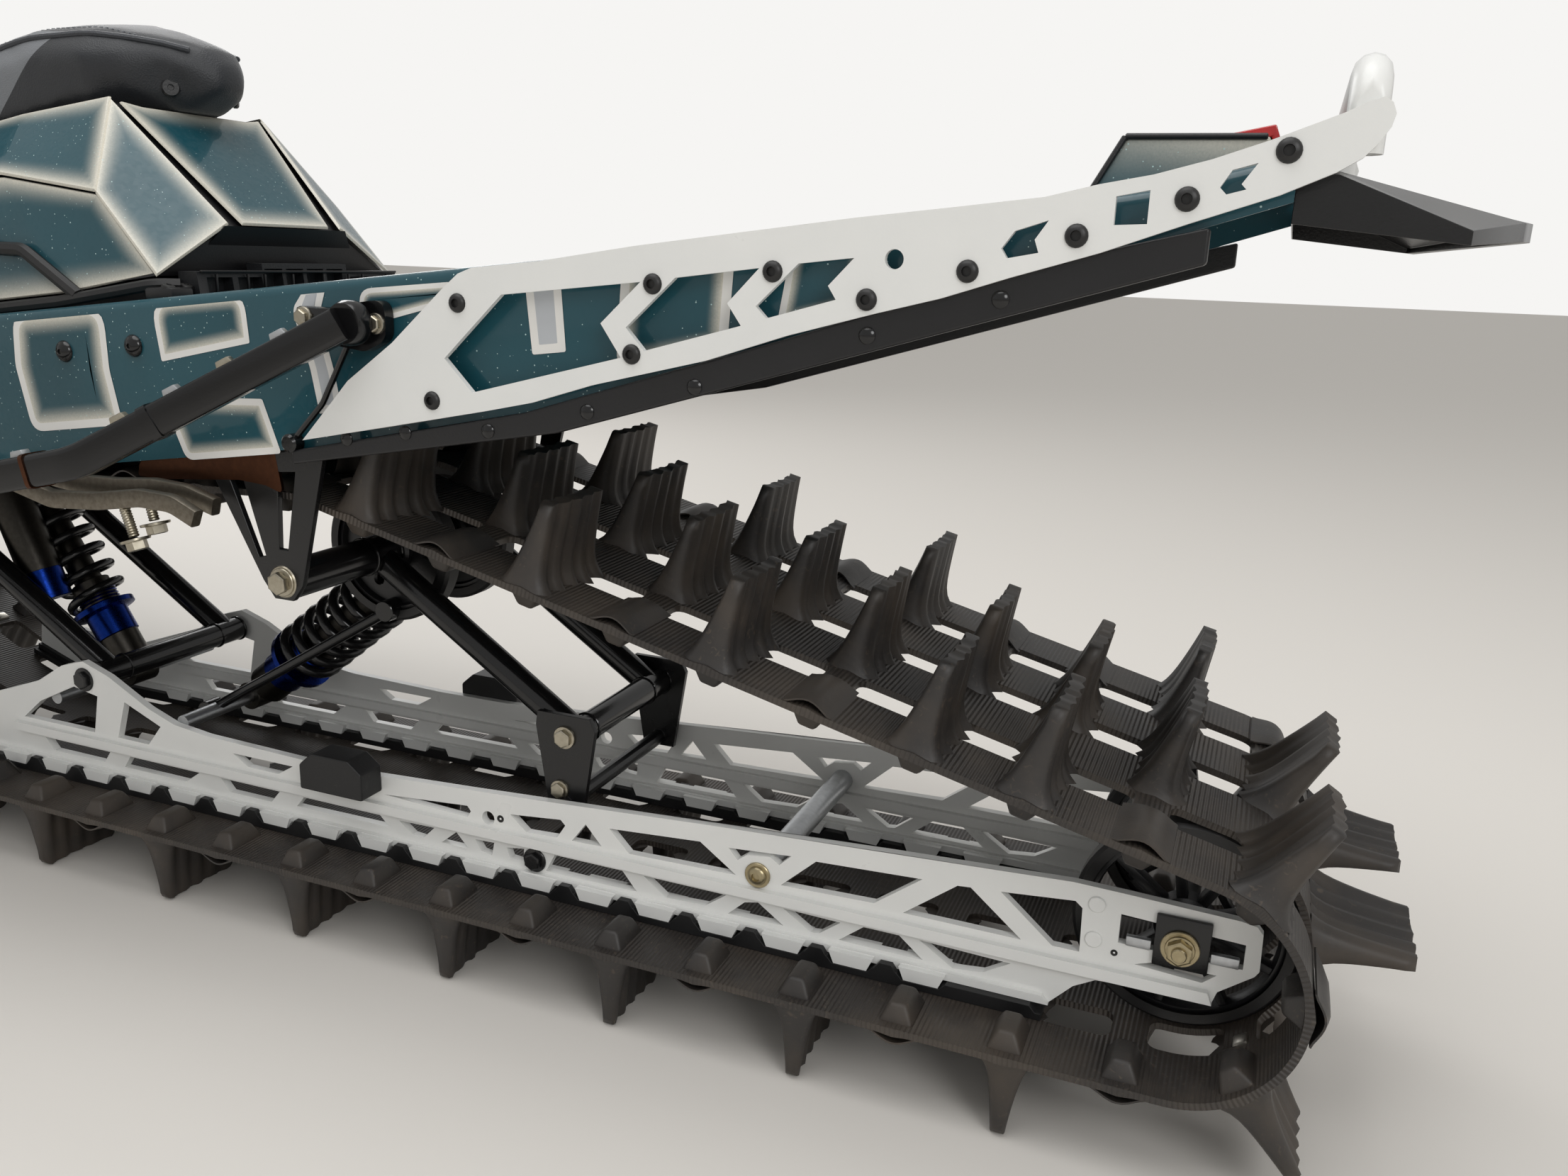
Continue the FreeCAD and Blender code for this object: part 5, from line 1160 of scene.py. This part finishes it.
TOPS, WAISTS, FEET = [[line + "_" + str(place) for place in range(2, 6)] for line in ("top", "waist", "foot")]
fairing = bmesh.new()
panel(fairing, *[[spot(name, side, away) for side, away in ((1, outer), (1, inner), (-1, inner), (-1, outer))]
                 for name, outer, inner in (("rear_top", (-4, -8, -4), (-7, -30, -7)),
                                            ("rear_foot", (1, -15, 1), (1, -34, 1)))], (-1, 0, 1), reach=30)
for side in (1, -1):
    panel(fairing, [spot("rear_top", side, (-1, 0, -2)), spot("waist", side)],
          [spot("rear_foot", side, (1, 3, 1)), spot("side_foot", side, (0, -1, 3))], (-1, side, 0.3), reach=30)
    panel(fairing, [spot(name, side) for name in ["rear_top"] + TOPS],
          [spot(name, side, (0, 0, 0.8)) for name in ["waist"] + WAISTS], (0, side, 1), "tfs", 24)
    panel(fairing, [spot(name, side, (0, -2.5, -2.5)) for name in ["waist"] + WAISTS],
          [spot("side_foot", side, (6, -5, 4))] + [spot(name, side, (0, -3, 2)) for name in FEET],
          (0, side, 0), "tfs", 30)
settle("fairing_panels", fairing, [teal_glow], 34)

# Seat box: the black moulded base under the fairing, with its ribbed tray and the panel up to the seat.
# A rubber strip seals it to the fairing, and a folded bracket bolts it down at each rear corner.
dressed("seat_box", base_plastic, width=2)
strips, trims, bracket_bolts = shapes(3)
for side in (1, -1):
    piped(strips, [(938, side * 152, 636), (953, side * 168, 636), (1064, side * 176, 616),
                   (1250, side * 171, 594), (1480, side * 161, 567), (1556, side * 155, 560)], 5.5, 30, 12)
    block(trims, (944, side * 160, 628), (34, 26, 12), 3)
    piped(strips, [(1250, side * 168.5, 672), (1142, side * 171, 662), (1112, side * 171.5, 662),
                   (1044, side * 173, 622)], 6.5, 22, 12)
    for y in (166, 146):
        turned(bracket_bolts, (938, side * y, 633), (-0.3, 0, 1),
               [(6.4, -0.5), (6.4, 1), (5.4, 3), (2.4, 3.6), (2.2, 2.2), (0, 2.2)], 20)
    for y in (22, 60, 82, 121):
        block(trims, (925.6, side * y, 637), (2.4, 2.2, 18), 0.6)
block(trims, (926.6, 0, 648.4), (4, 276, 2.4), 0.8)
settle("fairing_strips", strips, [stop_rubber])
settle("box_trims", trims, [seam_black])
settle("box_bolts", bracket_bolts, [black_oxide])
dressed("console", base_plastic, width=3)


# Seat: a firm foam cushion under dark vinyl, crowned on top and piped along its upper edges.
# The foam is swelled by a cloth simulation inside the space that the plain cushion holds.
def vinyl(name, base, worn, panel=None):
    """Upholstery vinyl: fine pebbled grain, a soft sheen, slightly paler where it is rubbed."""
    material, tree, shader, where, tint = clouded(name, (base, worn), 12.0, 5.0, (0.4, 0.58))
    pebbles = knot(tree, "ShaderNodeTexVoronoi", {"Vector": where, "Scale": 650.0})
    if panel:
        # A paler panel is let into each side, ahead of a slanting seam.
        level = knot(tree, "ShaderNodeVectorMath", {0: where, 1: SEAM_WAY}, operation="DOT_PRODUCT")
        past = knot(tree, "ShaderNodeMath", {0: level.outputs["Value"], 1: SEAM_AT}, operation="GREATER_THAN")
        apart = knot(tree, "ShaderNodeSeparateXYZ", {"Vector": where})
        wide = knot(tree, "ShaderNodeMath", {0: apart.outputs[1]}, operation="ABSOLUTE")
        beside = knot(tree, "ShaderNodeMath", {0: wide.outputs[0], 1: SEAM_WIDE}, operation="GREATER_THAN")
        both = knot(tree, "ShaderNodeMath", {0: past.outputs[0], 1: beside.outputs[0]}, operation="MULTIPLY")
        inlaid = knot(tree, "ShaderNodeMix", {"Factor": both.outputs[0], "A": tint, "B": colour(panel)},
                      data_type="RGBA")
        tree.links.new(inlaid.outputs["Result"], shader.inputs["Base Color"])
    relief = knot(tree, "ShaderNodeBump", {
        "Strength": 0.45, "Distance": 0.0005, "Height": pebbles.outputs["Distance"]})
    tree.links.new(relief.outputs[0], shader.inputs["Normal"])
    shader.inputs["Sheen Weight"].default_value = 0.15
    return material


SEAM_WAY, SEAM_AT, SEAM_WIDE = (0.667, 0.0, 0.745), 0.3955, 0.074
seat_vinyl = vinyl("black_upholstery_vinyl", "#17191d", "#23262b", "#6f7276")
cushion = copied("seat")
middle = Vector([sum(end(vert.co[axis] for vert in cushion.verts) for end in (min, max)) / 2
                 for axis in range(3)])
for vert in cushion.verts:
    away = vert.co - middle
    vert.co = middle + Vector((away.x * 0.985, away.y * 0.93, away.z * 0.98))
seat_piece = settle("seat_cushion", cushion, [seat_vinyl], 60)
remesh = seat_piece.modifiers.new("skin", "REMESH")
remesh.mode = "VOXEL"
remesh.voxel_size = 0.0055
remesh.use_smooth_shade = True


def applied(piece):
    """Gives the piece the mesh that its modifiers make and takes them off."""
    bpy.context.view_layer.update()
    ready = bpy.data.meshes.new_from_object(piece.evaluated_get(bpy.context.evaluated_depsgraph_get()))
    old = piece.data
    piece.modifiers.clear()
    piece.data = ready
    bpy.data.meshes.remove(old)


applied(seat_piece)
if not seat_piece.data.materials:
    seat_piece.data.materials.append(seat_vinyl)
rest_points = [vert.co.copy() for vert in seat_piece.data.vertices]
foam = seat_piece.modifiers.new("foam", "CLOTH")
for setting, value in dict(quality=6, mass=0.3, tension_stiffness=18, compression_stiffness=18,
                           shear_stiffness=8, bending_stiffness=4, use_pressure=True,
                           uniform_pressure_force=4).items():
    setattr(foam.settings, setting, value)
foam.settings.effector_weights.gravity = 0
foam.point_cache.frame_start = 1
foam.point_cache.frame_end = 20
for step in range(1, 21):
    scene.frame_set(step)
applied(seat_piece)
scene.frame_set(1)
SWELL = 0.009
for vert, rest in zip(seat_piece.data.vertices, rest_points):
    swelled = vert.co - rest
    if swelled.length > SWELL:
        vert.co = rest + swelled.normalized() * SWELL
smooth = seat_piece.modifiers.new("smooth", "SMOOTH")
smooth.iterations = 6
smooth.factor = 0.5
applied(seat_piece)
for face in seat_piece.data.polygons:
    face.use_smooth = True
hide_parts("seat")

# Piping and stitches: a covered cord along the seat's upper edges, and the paler panel line with its stitches.
# They are sewn in after the foam is in place, so they follow the swelled cushion.
SEAT_LINE = [(1024, 36, 862), (1044, 50, 866), (1068, 66, 869), (1100, 80, 871), (1180, 84, 865),
             (1250, 84, 852), (1400, 80, 836), (1480, 76, 833), (1558, 66, 842)]
STITCH_PITCH = 6.8
piping, stitches, anchors = shapes(3)


def skin_of(piece):
    """A finder of the nearest place on a piece's skin and of its normal, in millimetres from the rear axle."""
    skin = bmesh.new()
    skin.from_mesh(piece.data)
    surface = BVHTree.FromBMesh(skin)
    skin.free()

    def nearest(point):
        point = point / 1000 + AXLE
        place, *_, distance = surface.find_nearest(point)
        # Where the nearest place is on an edge, the faces beside it count alike, so every run gives the same.
        normals = [face[1] for face in surface.find_nearest_range(point, distance + 1e-6)]
        return (place - AXLE) * 1000, sum(normals, Vector()).normalized()

    return nearest


on_cushion = skin_of(seat_piece)


def on_seat(x, y, z, proud):
    """The nearest place on the cushion's skin, or a little outside it."""
    place, normal = on_cushion(Vector((x, y, z)))
    return place + normal * proud


for side in (1, -1):
    line = []
    for here, there in zip(SEAT_LINE, SEAT_LINE[1:]):
        steps = max(int((there[0] - here[0]) / 16), 1)
        for step in range(steps):
            share = step / steps
            x, y, z = [a + (b - a) * share for a, b in zip(here, there)]
            line.append(on_seat(x, side * y, z, 0.8))
    piped(piping, line, 3.0, 12, 12, 1)
    turned(anchors, on_seat(1033, side * 55, 815, -1), (-0.75, side * 0.6, 0),
           [(9, -2), (9, 1.5), (7.5, 3.2), (3, 3.2), (2.6, 1.6), (0, 1.6)], 24)
    for index in range(75):
        along = index * STITCH_PITCH
        share = along / 505
        place = on_seat(1040 + along, side * (60 + 14 * share), 880 - 40 * share, 0.2)
        block(stitches, place, (4.4, 0.9, 0.9), 0.3)
piping_vinyl = vinyl("black_piping_vinyl", "#25282d", "#31343a")
thread = coat("grey_polyester_thread", "#8d9196", "#777b80", 0.6, 0.5)
settle("seat_piping", piping, [piping_vinyl])
settle("seat_stitches", stitches, [thread])
settle("seat_anchors", anchors, [black_nylon])


# Front bodywork: hood, side panels and belly pan moulded in thin shells, lacquered, with a pale painted
# highlight along their folds.
# The belly pan is bare black plastic; quarter-turn fasteners and black louvred vents hold and cool the panels.
HULL = [
    # place, then half width and height of the sill, waist, shoulder and ridge
    (1795, (214, 370), (360, 590), (284, 850), (117, 974)),
    (1900, (214, 330), (385, 570), (300, 850), (115, 985)),
    (2150, (205, 300), (350, 560), (270, 800), (100, 905)),
    (2400, (160, 340), (262, 530), (212, 712), (84, 800)),
    (2590, (112, 372), (150, 492), (134, 610), (62, 690)),
    (2720, (88, 404), (124, 462), (106, 530), (46, 586)),
]


def sprayed(node, spacing=15.0, reach=26.0, width=3.0):
    """A softened copy of a faceted shell, divided finely, with a painted highlight that fades from the hull's
    long lines.
    """
    shape = copied(node)
    sharp = []
    for edge in shape.edges:
        middle = (edge.verts[0].co + edge.verts[1].co) / 2
        if (len(edge.link_faces) == 2 and edge.calc_face_angle(0) > math.radians(13) and edge.calc_length() > 60
                and not (2480 < middle.x < 2570 and middle.z > 655)):
            sharp.append(edge)
    lines = [((here[0], *here[line]), (there[0], *there[line])) for here, there in zip(HULL, HULL[1:])
             for line in range(1, 5)]
    for x, *rim in (HULL[0], HULL[-1]):
        lines += [((x, *low), (x, *high)) for low, high in zip(rim, rim[1:] + [(0, rim[-1][1])])]
    marks = []
    for start, end in lines:
        for step in range(45):
            x, y, z = Vector(start).lerp(Vector(end), step / 45)
            marks += [Vector((x, y, z)), Vector((x, -y, z))]
    broken(shape, width, sharp, clamp=True)
    for step in range(7):
        bmesh.ops.triangulate(shape, faces=[face for face in shape.faces if len(face.verts) > 3])
        wide = [edge for edge in shape.edges if edge.calc_length() > spacing * 1.6]
        if not wide:
            break
        bmesh.ops.subdivide_edges(shape, edges=wide, cuts=1)
    bmesh.ops.triangulate(shape, faces=[face for face in shape.faces if len(face.verts) > 3])
    glow = shape.verts.layers.float.new("glow")
    tree = KDTree(len(marks))
    for index, mark in enumerate(marks):
        tree.insert(mark, index)
    tree.balance()
    for vert in shape.verts:
        vert[glow] = max(0.0, 1 - tree.find(vert.co)[2] / reach)
    return standing_in(settle(node + "_finished", shape, [teal_glow], 30), node)


hood_piece = sprayed("hood")
sprayed("side_panel_left")
sprayed("side_panel_right")
dressed("belly_pan", base_plastic, width=2)


def on_hull(x, low, high, share, side, proud=0.0):
    """A place on the bodywork between two of its long lines, and the way it faces."""
    for here, there in zip(HULL, HULL[1:]):
        if here[0] <= x <= there[0]:
            along = (x - here[0]) / (there[0] - here[0])
            lines = [Vector((x, *[a + (b - a) * along for a, b in zip(here[line], there[line])]))
                     for line in (low, high)]
            run = Vector((there[0] - here[0], there[low][0] - here[low][0], there[low][1] - here[low][1]))
            way = run.cross(lines[1] - lines[0]).normalized()
            if way.y < 0:
                way = -way
            place = lines[0].lerp(lines[1], share) + way * proud
            return Vector((place.x, side * place.y, place.z)), Vector((way.x, side * way.y, way.z))


on_hood_skin = skin_of(hood_piece)


def on_hood(point, proud):
    """A point moved out until it stands at least so far proud of the hood's skin."""
    place, normal = on_hood_skin(point)
    if normal.x + normal.z < 0:
        return point
    return point + normal * max(0, proud - (point - place).dot(normal))


VENTS = [
    # the hull's lines below and above each vent, where it starts and ends, and its shares of the way up
    (2, 3, 1850, 2080, 0.55, 0.9), (2, 3, 2200, 2370, 0.5, 0.9), (3, 4, 1960, 2130, 0.35, 0.7),
    (3, 4, 2464, 2578, 0.42, 0.97),
]
FASTENERS = [
    # place, the hull's lines below and above, share of the way up
    (1830, 2, 3, 0.18), (2120, 2, 3, 0.16), (2350, 2, 3, 0.2), (2560, 2, 3, 0.25), (1840, 3, 4, 0.85),
    (2180, 3, 4, 0.85), (2420, 3, 4, 0.8), (1850, 1, 2, 0.8), (2120, 1, 2, 0.75),
]
vents, slats, fasteners = shapes(3)
for side in (1, -1):
    for low, high, x_from, x_to, share_from, share_to in VENTS:
        corners = [on_hull(x, low, high, share, side, 0.8)[0]
                   for x, share in ((x_from, share_from), (x_to, share_from), (x_to - 18, share_to),
                                    (x_from + 22, share_to))]
        way = on_hull((x_from + x_to) / 2, low, high, share_from, side)[1]
        panel(vents, [corners[3], corners[2]], [corners[0], corners[1]], way, "tfse", lift=0.8)
        for index in range(1, 8):
            start, end = corners[0].lerp(corners[1], index / 8), corners[3].lerp(corners[2], index / 8)
            stations = [on_hood(start.lerp(end, 0.1 + 0.2 * step) + way * 1.5, 2.4) for step in range(5)]
            piped(slats, stations, 3.0, 4, 8, 1)
    for spot_on_hull in FASTENERS:
        turned(fasteners, *on_hull(*spot_on_hull, side),
               [(11, -0.5), (11, 1.2), (9.6, 2.2), (7, 2.4), (6.4, 1.4), (1.4, 1.4), (1.2, 2.6), (0, 2.6)], 24)
for vert in vents.verts:
    vert.co = on_hood(vert.co, 1.3)
grille_black = coat("matt_black_mesh", "#0a0a0b", "#131314", 0.62, 0.6)
settle("hood_vents", vents, [grille_black])
settle("hood_slats", slats, [black_nylon])
settle("hood_fasteners", fasteners, [black_oxide])


# Headlights: a clear moulded block under the hood's skin, and on the nose a dark glass face each side.
# Three lamps stand in each face, in chromed rings.
def glass(name, tones, rough, through=1.0):
    """Clear or smoked polycarbonate: smooth, faintly tinted, seen through."""
    material, _, shader, *_ = clouded(name, tones, 30.0, 3.0, (rough, rough + 0.05))
    shader.inputs["Transmission Weight"].default_value = through
    shader.inputs["IOR"].default_value = 1.49
    return material


clear_lens = glass("clear_polycarbonate", ("#f2f5f6", "#e6ecee"), 0.02)
dressed("headlights", clear_lens, width=2.5)
faces, bowls, lamps = shapes(3)
for side in (1, -1):
    way = on_hull(2650, 3, 4, 0.5, side)[1]
    tops, feet = [[on_hull(x, 3, 4, share, side)[0] for x in (2604, 2702)] for share in (0.88, 0.14)]
    panel(faces, tops, feet, way, "tfse", lift=1.8)
    for x in (2624, 2653, 2682):
        place = on_hull(x, 3, 4, 0.5, side, 1.4)[0]
        turned(bowls, place, way, [(13.4, 0), (13.4, 2.2), (12.4, 2.8), (11, 2.4), (8.4, 0.8)], 36)
        turned(lamps, place, way, [(8.6, 0.6), (8, 2.0), (5.6, 3.2), (2.6, 3.8), (0, 4)], 28)
lamp_face = coat("dark_lamp_glass", "#0b0d10", "#14181c", 0.08, 0.02)
settle("headlight_faces", faces, [lamp_face])
chrome = steel("vacuum_chromed_bowl", "#d4d6d8", "#c2c4c6", 0.1)
lamp_white = coat("frosted_lamp", "#f1ead8", "#e9e2ce", 0.3, 0.1)
settle("headlight_bowls", bowls, [chrome])
settle("headlight_lamps", lamps, [lamp_white])

# Windshield: smoked polycarbonate sheet bent over the hood's ridge and held by rubber-washered screws.
smoke = glass("smoked_polycarbonate", ("#2b2f33", "#23272a"), 0.03, 0.72)
dressed("windshield", smoke, width=1.2)
screws = bmesh.new()
for side in (1, -1):
    for y, z in ((60, 985), (110, 1010), (96, 968)):
        x = 1972 - (z - 962.3) * 126 / 287.7
        turned(screws, (x + 1, side * y, z), (0.9, 0, 0.42),
               [(8, -4), (8, 0.8), (6.5, 1.4), (5, 3), (2.2, 3.6), (0, 3)], 20)
settle("windshield_screws", screws, [black_oxide])

# Engine: a two-cylinder block of cast aluminium, seen only through the gaps under the bodywork.
# Its cases are bolted halves, with finned heads and a clutch cover.
engine = bmesh.new()
block(engine, (2140, 0, 470), (330, 270, 132), 14)
block(engine, (2140, 0, 556), (250, 200, 60), 10)
for x in (2075, 2205):
    turned(engine, (x, 0, 560), (0, 0, 1), [(52, 0), (52, 80), (46, 92), (20, 100), (0, 100)], 40)
    for z in range(590, 650, 10):
        turned(engine, (x, 0, z), (0, 0, 1), [(50, 0), (61, 1), (61, 3.5), (50, 4.5)], 40)
    turned(engine, (x, 0, 660), (0, 0, 1), [(9, 0), (9, 14), (7, 24), (3, 28), (0, 28)], 20)
for side in (1, -1):
    turned(engine, (2110, side * 128, 480), (0, side, 0),
           [(62, 0), (62, 12), (54, 20), (20, 21.5), (0, 21.5)], 48)
    for index in range(8):
        turn = index * math.pi / 4
        place = (2110 + 56 * math.cos(turn), side * 141, 480 + 56 * math.sin(turn))
        hex_head(engine, place, (0, side, 0), 4.5, 5, 1.2)
cast_aluminium = steel("cast_aluminium", "#8d8f90", "#76787a", 0.5)
engine_piece = settle("engine", engine, [cast_aluminium])
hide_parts("engine_block")

# Front frame: a welded aluminium box with lightening holes, and the bent tube bumper bolted before it.
frame_grey = coat("grey_powder_coat", "#3a3c3e", "#303234", 0.4, 0.3)
dressed("bulkhead", frame_grey, width=1.6)
BULKHEAD_SIDE = 120
frame_bolts, rings = shapes(2)
for side in (1, -1):
    for x, z in ((2330, 350), (2330, 320), (2420, 462), (2470, 320), (2650, 320), (2670, 380), (2560, 440)):
        hex_head(frame_bolts, (x, side * BULKHEAD_SIDE, z), (0, side, 0), 7, 6, 1.25)
    for x, z, radius in ((2400, 380, 26), (2490, 390, 30), (2600, 370, 26)):
        turned(rings, (x, side * BULKHEAD_SIDE, z), (0, side, 0),
               [(radius, -1), (radius, 1.5), (radius - 3, 2.5), (radius - 6, 1.5), (radius - 8, -3), (0, -3)],
               36)
settle("frame_bolts", frame_bolts, [zinc])
settle("frame_pressings", rings, [frame_grey])
HOOP = [(2701, 97, 373), (2775, 110, 402), (2804, 60, 429.6)]
hoop = bmesh.new()
piped(hoop, HOOP + [(x, -y, z) for x, y, z in reversed(HOOP)], 11, 50, 24)
hoop_piece = settle("front_hoop", hoop, [white_coat])
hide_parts("front_bumper")

# Skis: moulded plastic with turned-up tips, a steel keel bar with a carbide edge, and a tubular loop.
# The saddle is bolted through the spindle's foot.
AXIS_X, SKI_Y = 2640, 457
TIE_X, TIE_Z = 2555, 292
ski_plastic = coat("white_ski_plastic", "#dcdbd6", "#cfcec9", 0.34, 0.4)
carbide = steel("carbide_runner", "#77797b", "#5a5c5e", 0.35)
for side, body, name in ((1, "left_ski", "left"), (-1, "right_ski", "right")):
    middle = side * SKI_Y
    dressed("ski_" + name, ski_plastic, body, width=2.2)
    ribs, steels, bolts, grip_loop, joints, tie, rod_end = shapes(7)
    for y in (-66, -50, 50, 66):
        bar(ribs, (AXIS_X - 330, middle + y, 28.5), (AXIS_X + 330, middle + y, 28.5), 4.2, 12)
    for index in range(9):
        block(ribs, (AXIS_X + 150 + index * 20, middle, 29.5), (6, 84, 6), 1.4)
    bar(steels, (AXIS_X - 298, middle, 4.5), (AXIS_X + 278, middle, 4.5), 4.5, 12)
    for face in (1, -1):
        for x in (-104, -78, 78, 104):
            button_head(bolts, (AXIS_X + x, middle + face * 43, 27), (0, 0, 1), 6.5)
        hex_head(bolts, (AXIS_X, middle + face * 44, 70), (0, face, 0), 9, 6, 1.3)
    piped(grip_loop, [(AXIS_X + 331, middle, 26), (AXIS_X + 380, middle, 138), (AXIS_X + 520, middle, 233),
                      (AXIS_X + 588, middle, 178)], 9.6, 60, 20)
    settle("ski_ribs_" + name, ribs, [ski_plastic], body=body)
    settle("ski_runner_" + name, steels, [carbide], body=body)
    settle("ski_bolts_" + name, bolts, [zinc], body=body)
    settle("ski_loop_" + name, grip_loop, [gloss_black], body=body)
    dressed("spindle_" + name, frame_grey, body, width=1.4)
    turned(joints, (AXIS_X, middle, 386), (0, 0, 1), [(15, -1), (15, 2), (9, 3), (9, 9), (7, 11), (0, 11)], 6)
    settle("spindle_nut_" + name, joints, [zinc], body=body)
    for y, end_y, radius, sides in ((60, 176, 12, 28), (176, 444, 7.2, 20)):
        bar(tie, (TIE_X, side * y, TIE_Z), (TIE_X, side * end_y, TIE_Z), radius, sides)
    for y, radius, height in ((200, 11, 16), (425, 10.4, 12)):
        turned(tie, (TIE_X, side * y, TIE_Z), (0, side, 0),
               [(7, 0), (radius, 0), (radius, height), (7, height)], 6)
    turned(rod_end, (TIE_X, middle, TIE_Z - 8), (0, 0, 1), [(9, 0), (14.6, 1.6), (14.6, 13.6), (9, 15.2)], 28)
    turned(rod_end, (TIE_X, middle, TIE_Z - 9), (0, 0, 1), [(5, 0), (8, 2), (8, 15), (5, 17), (0, 17)], 20)
    rod = name + "_tie_rod"
    tie_piece = settle("tie_rod_" + name + "_finished", tie, [yellow_zinc], body=rod)
    settle("tie_rod_end_" + name, rod_end, [black_oxide], body=rod)
    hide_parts("tie_rod_" + name)

# Front suspension: welded tube arms in gloss black, with a coil-over damper on each lower arm.
# Rubber boots close the arms' inner pivots and the outer joints.
INNER_SHARE = 16.5 / 352
front_arms, boots, damper_metal, collars, springs = shapes(5)
for side in (1, -1):
    for inner_z, ball_z, rear_x, front_x in ((330, 210, 2430, 2670), (440, 365, 2440, 2640)):
        ball = Vector((AXIS_X, side * SKI_Y, ball_z))
        turned(front_arms, ball - Vector((0, 0, 16)), (0, 0, 1),
               [(19, 0), (28, 0), (29, 2), (29, 30), (28, 32), (19, 32), (19, 0)], 36)
        for x in (rear_x, front_x):
            inner = Vector((x, side * 121.5, inner_z)).lerp(Vector((AXIS_X, side * 121.5, ball_z)), INNER_SHARE)
            end = ball + (inner - ball).normalized() * 26
            bar(front_arms, inner, end, 10.8, 24)
            way = (end - inner).normalized()
            turned(boots, inner + way * 4, way,
                   [(11, 0), (16, 1), (16, 7), (12.5, 9), (15, 12), (12, 15), (14, 18), (11, 20)], 28)
        for z in (-20, 17):
            turned(boots, ball + Vector((0, 0, z)), (0, 0, 1), [(18, 0), (25, 0.5), (25, 2.5), (18, 3)], 28)
    share = (335 - 120) / (SKI_Y - 120)
    cross_z = 330 + share * (210 - 330)
    bar(front_arms, (2430 + share * 210, side * 335, cross_z), (2670 - share * 30, side * 335, cross_z), 9, 20)
    damper((2575, side * 196, 567), (2600, side * 335, cross_z + 25.5), 29, 4.2, 8, 17)
arm_piece = settle("front_arms", front_arms, [gloss_black])
settle("front_boots", boots, [stop_rubber])
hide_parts("a_arms")
metal_piece = settle("ski_damper_bodies", damper_metal, [dark_anodised])
settle("ski_damper_collars", collars, [blue_anodised])
settle("ski_damper_springs", springs, [spring_black])
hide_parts("ski_dampers")

# Console and controls: a gauge in its hood and a screwed fuel cap on the black console.
# The fuel cap is moulded with finger ribs, and the gauge has a dark glass face.
CAP = Vector((1612, 0, 886))
caps, screens = shapes(2)
way = Vector((-0.55, 0, 0.84)).normalized()
across = Vector((0, 1, 0))
turned(caps, CAP, way, [(36, -6), (36, 8), (33, 16), (27, 19), (14, 19), (12, 16), (0, 16)], 40)
for index in range(16):
    turn = index * math.pi / 8
    rib = CAP + way * 5 + (across * math.cos(turn) + way.cross(across) * math.sin(turn)) * 36
    bar(caps, rib - way * 6, rib + way * 7, 2.6, 8)
block(caps, (1768, 0, 962), (46, 150, 44), 9)
block(screens, (1748, 0, 970), (10, 118, 32), 3)
screen_glass, _, shader, *_ = clouded("dark_gauge_glass", ("#07090b", "#10161b"), 25.0)
shader.inputs["Roughness"].default_value = 0.05
shader.inputs["Coat Weight"].default_value = 1.0
settle("console_fittings", caps, [base_plastic])
settle("gauge_face", screens, [screen_glass])

# Handlebar: a bent steel bar in a clamped riser, with foam-rubber grips, a brake lever and a throttle lever.
# Each control is a moulded block clamped round the bar.
POST_FOOT, POST_TOP = Vector((1812, 0, 812)), Vector((1692, 0, 1112))
BAR_END = 365


def bar_at(y):
    """A place on the bar's rising and swept-back outer run."""
    return POST_TOP + Vector((-26 * abs(y) / BAR_END, y, 34 * abs(y) / BAR_END))


steer, controls, levers, hand_grips = shapes(4)
post_way = (POST_TOP - POST_FOOT).normalized()
piped(steer, [bar_at(-BAR_END), bar_at(-120), POST_TOP + Vector((0, -60, 0)), POST_TOP + Vector((0, 60, 0)),
              bar_at(120), bar_at(BAR_END)], 11, 80, 24)
bar(steer, POST_FOOT + post_way * 96, POST_TOP - post_way * 12, 14.6, 28)
for side in (1, -1):
    block(controls, POST_TOP + Vector((0, side * 30, 0)), (40, 20, 40), 5)
    for x in (-13, 13):
        hex_head(levers, POST_TOP + Vector((x, side * 30, 19)), (0, 0, 1), 4.5, 5, 1.2)
    start, end = bar_at(side * 241), bar_at(side * (BAR_END - 0.5))
    way = (end - start).normalized()
    length = (end - start).length
    outline = [(11.4, 0), (20.5, 0), (20.5, 4), (17, 5)]
    for index in range(17):
        place = 8 + index * (length - 18) / 17
        outline += [(16.6, place), (17.6, place + 1.5), (17.6, place + 3.6), (16.4, place + 5)]
    outline += [(18.4, length - 6), (18.4, length - 1.5), (16, length), (0, length)]
    turned(hand_grips, start, way, outline, 28)
    hub = bar_at(side * 222)
    turned(controls, hub - way * 14, way, [(11.2, 0), (19, 0), (20, 2), (20, 28), (19, 30), (11.2, 30)], 28)
    block(controls, hub + Vector((22, 0, 10)), (46, 40, 24), 6)
    lever = [hub + Vector((x, side * y, z))
             for x, y, z in ((36, 4, 6), (52, 40, 8), (50, 110, 14), (58, 132, 16))]
    piped(levers, lever, 5.2, 30, 14)
grip_foam = coat("ribbed_grip_rubber", "#121213", "#1b1b1c", 0.62, 0.6)
steer_piece = settle("steering_bar", steer, [gloss_black], body="steering")
settle("steering_controls", controls, [base_plastic], body="steering")
settle("steering_levers", levers, [dark_anodised], body="steering")
grip_piece = settle("hand_grips", hand_grips, [grip_foam], body="steering")
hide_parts("handlebar")
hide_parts("grips")
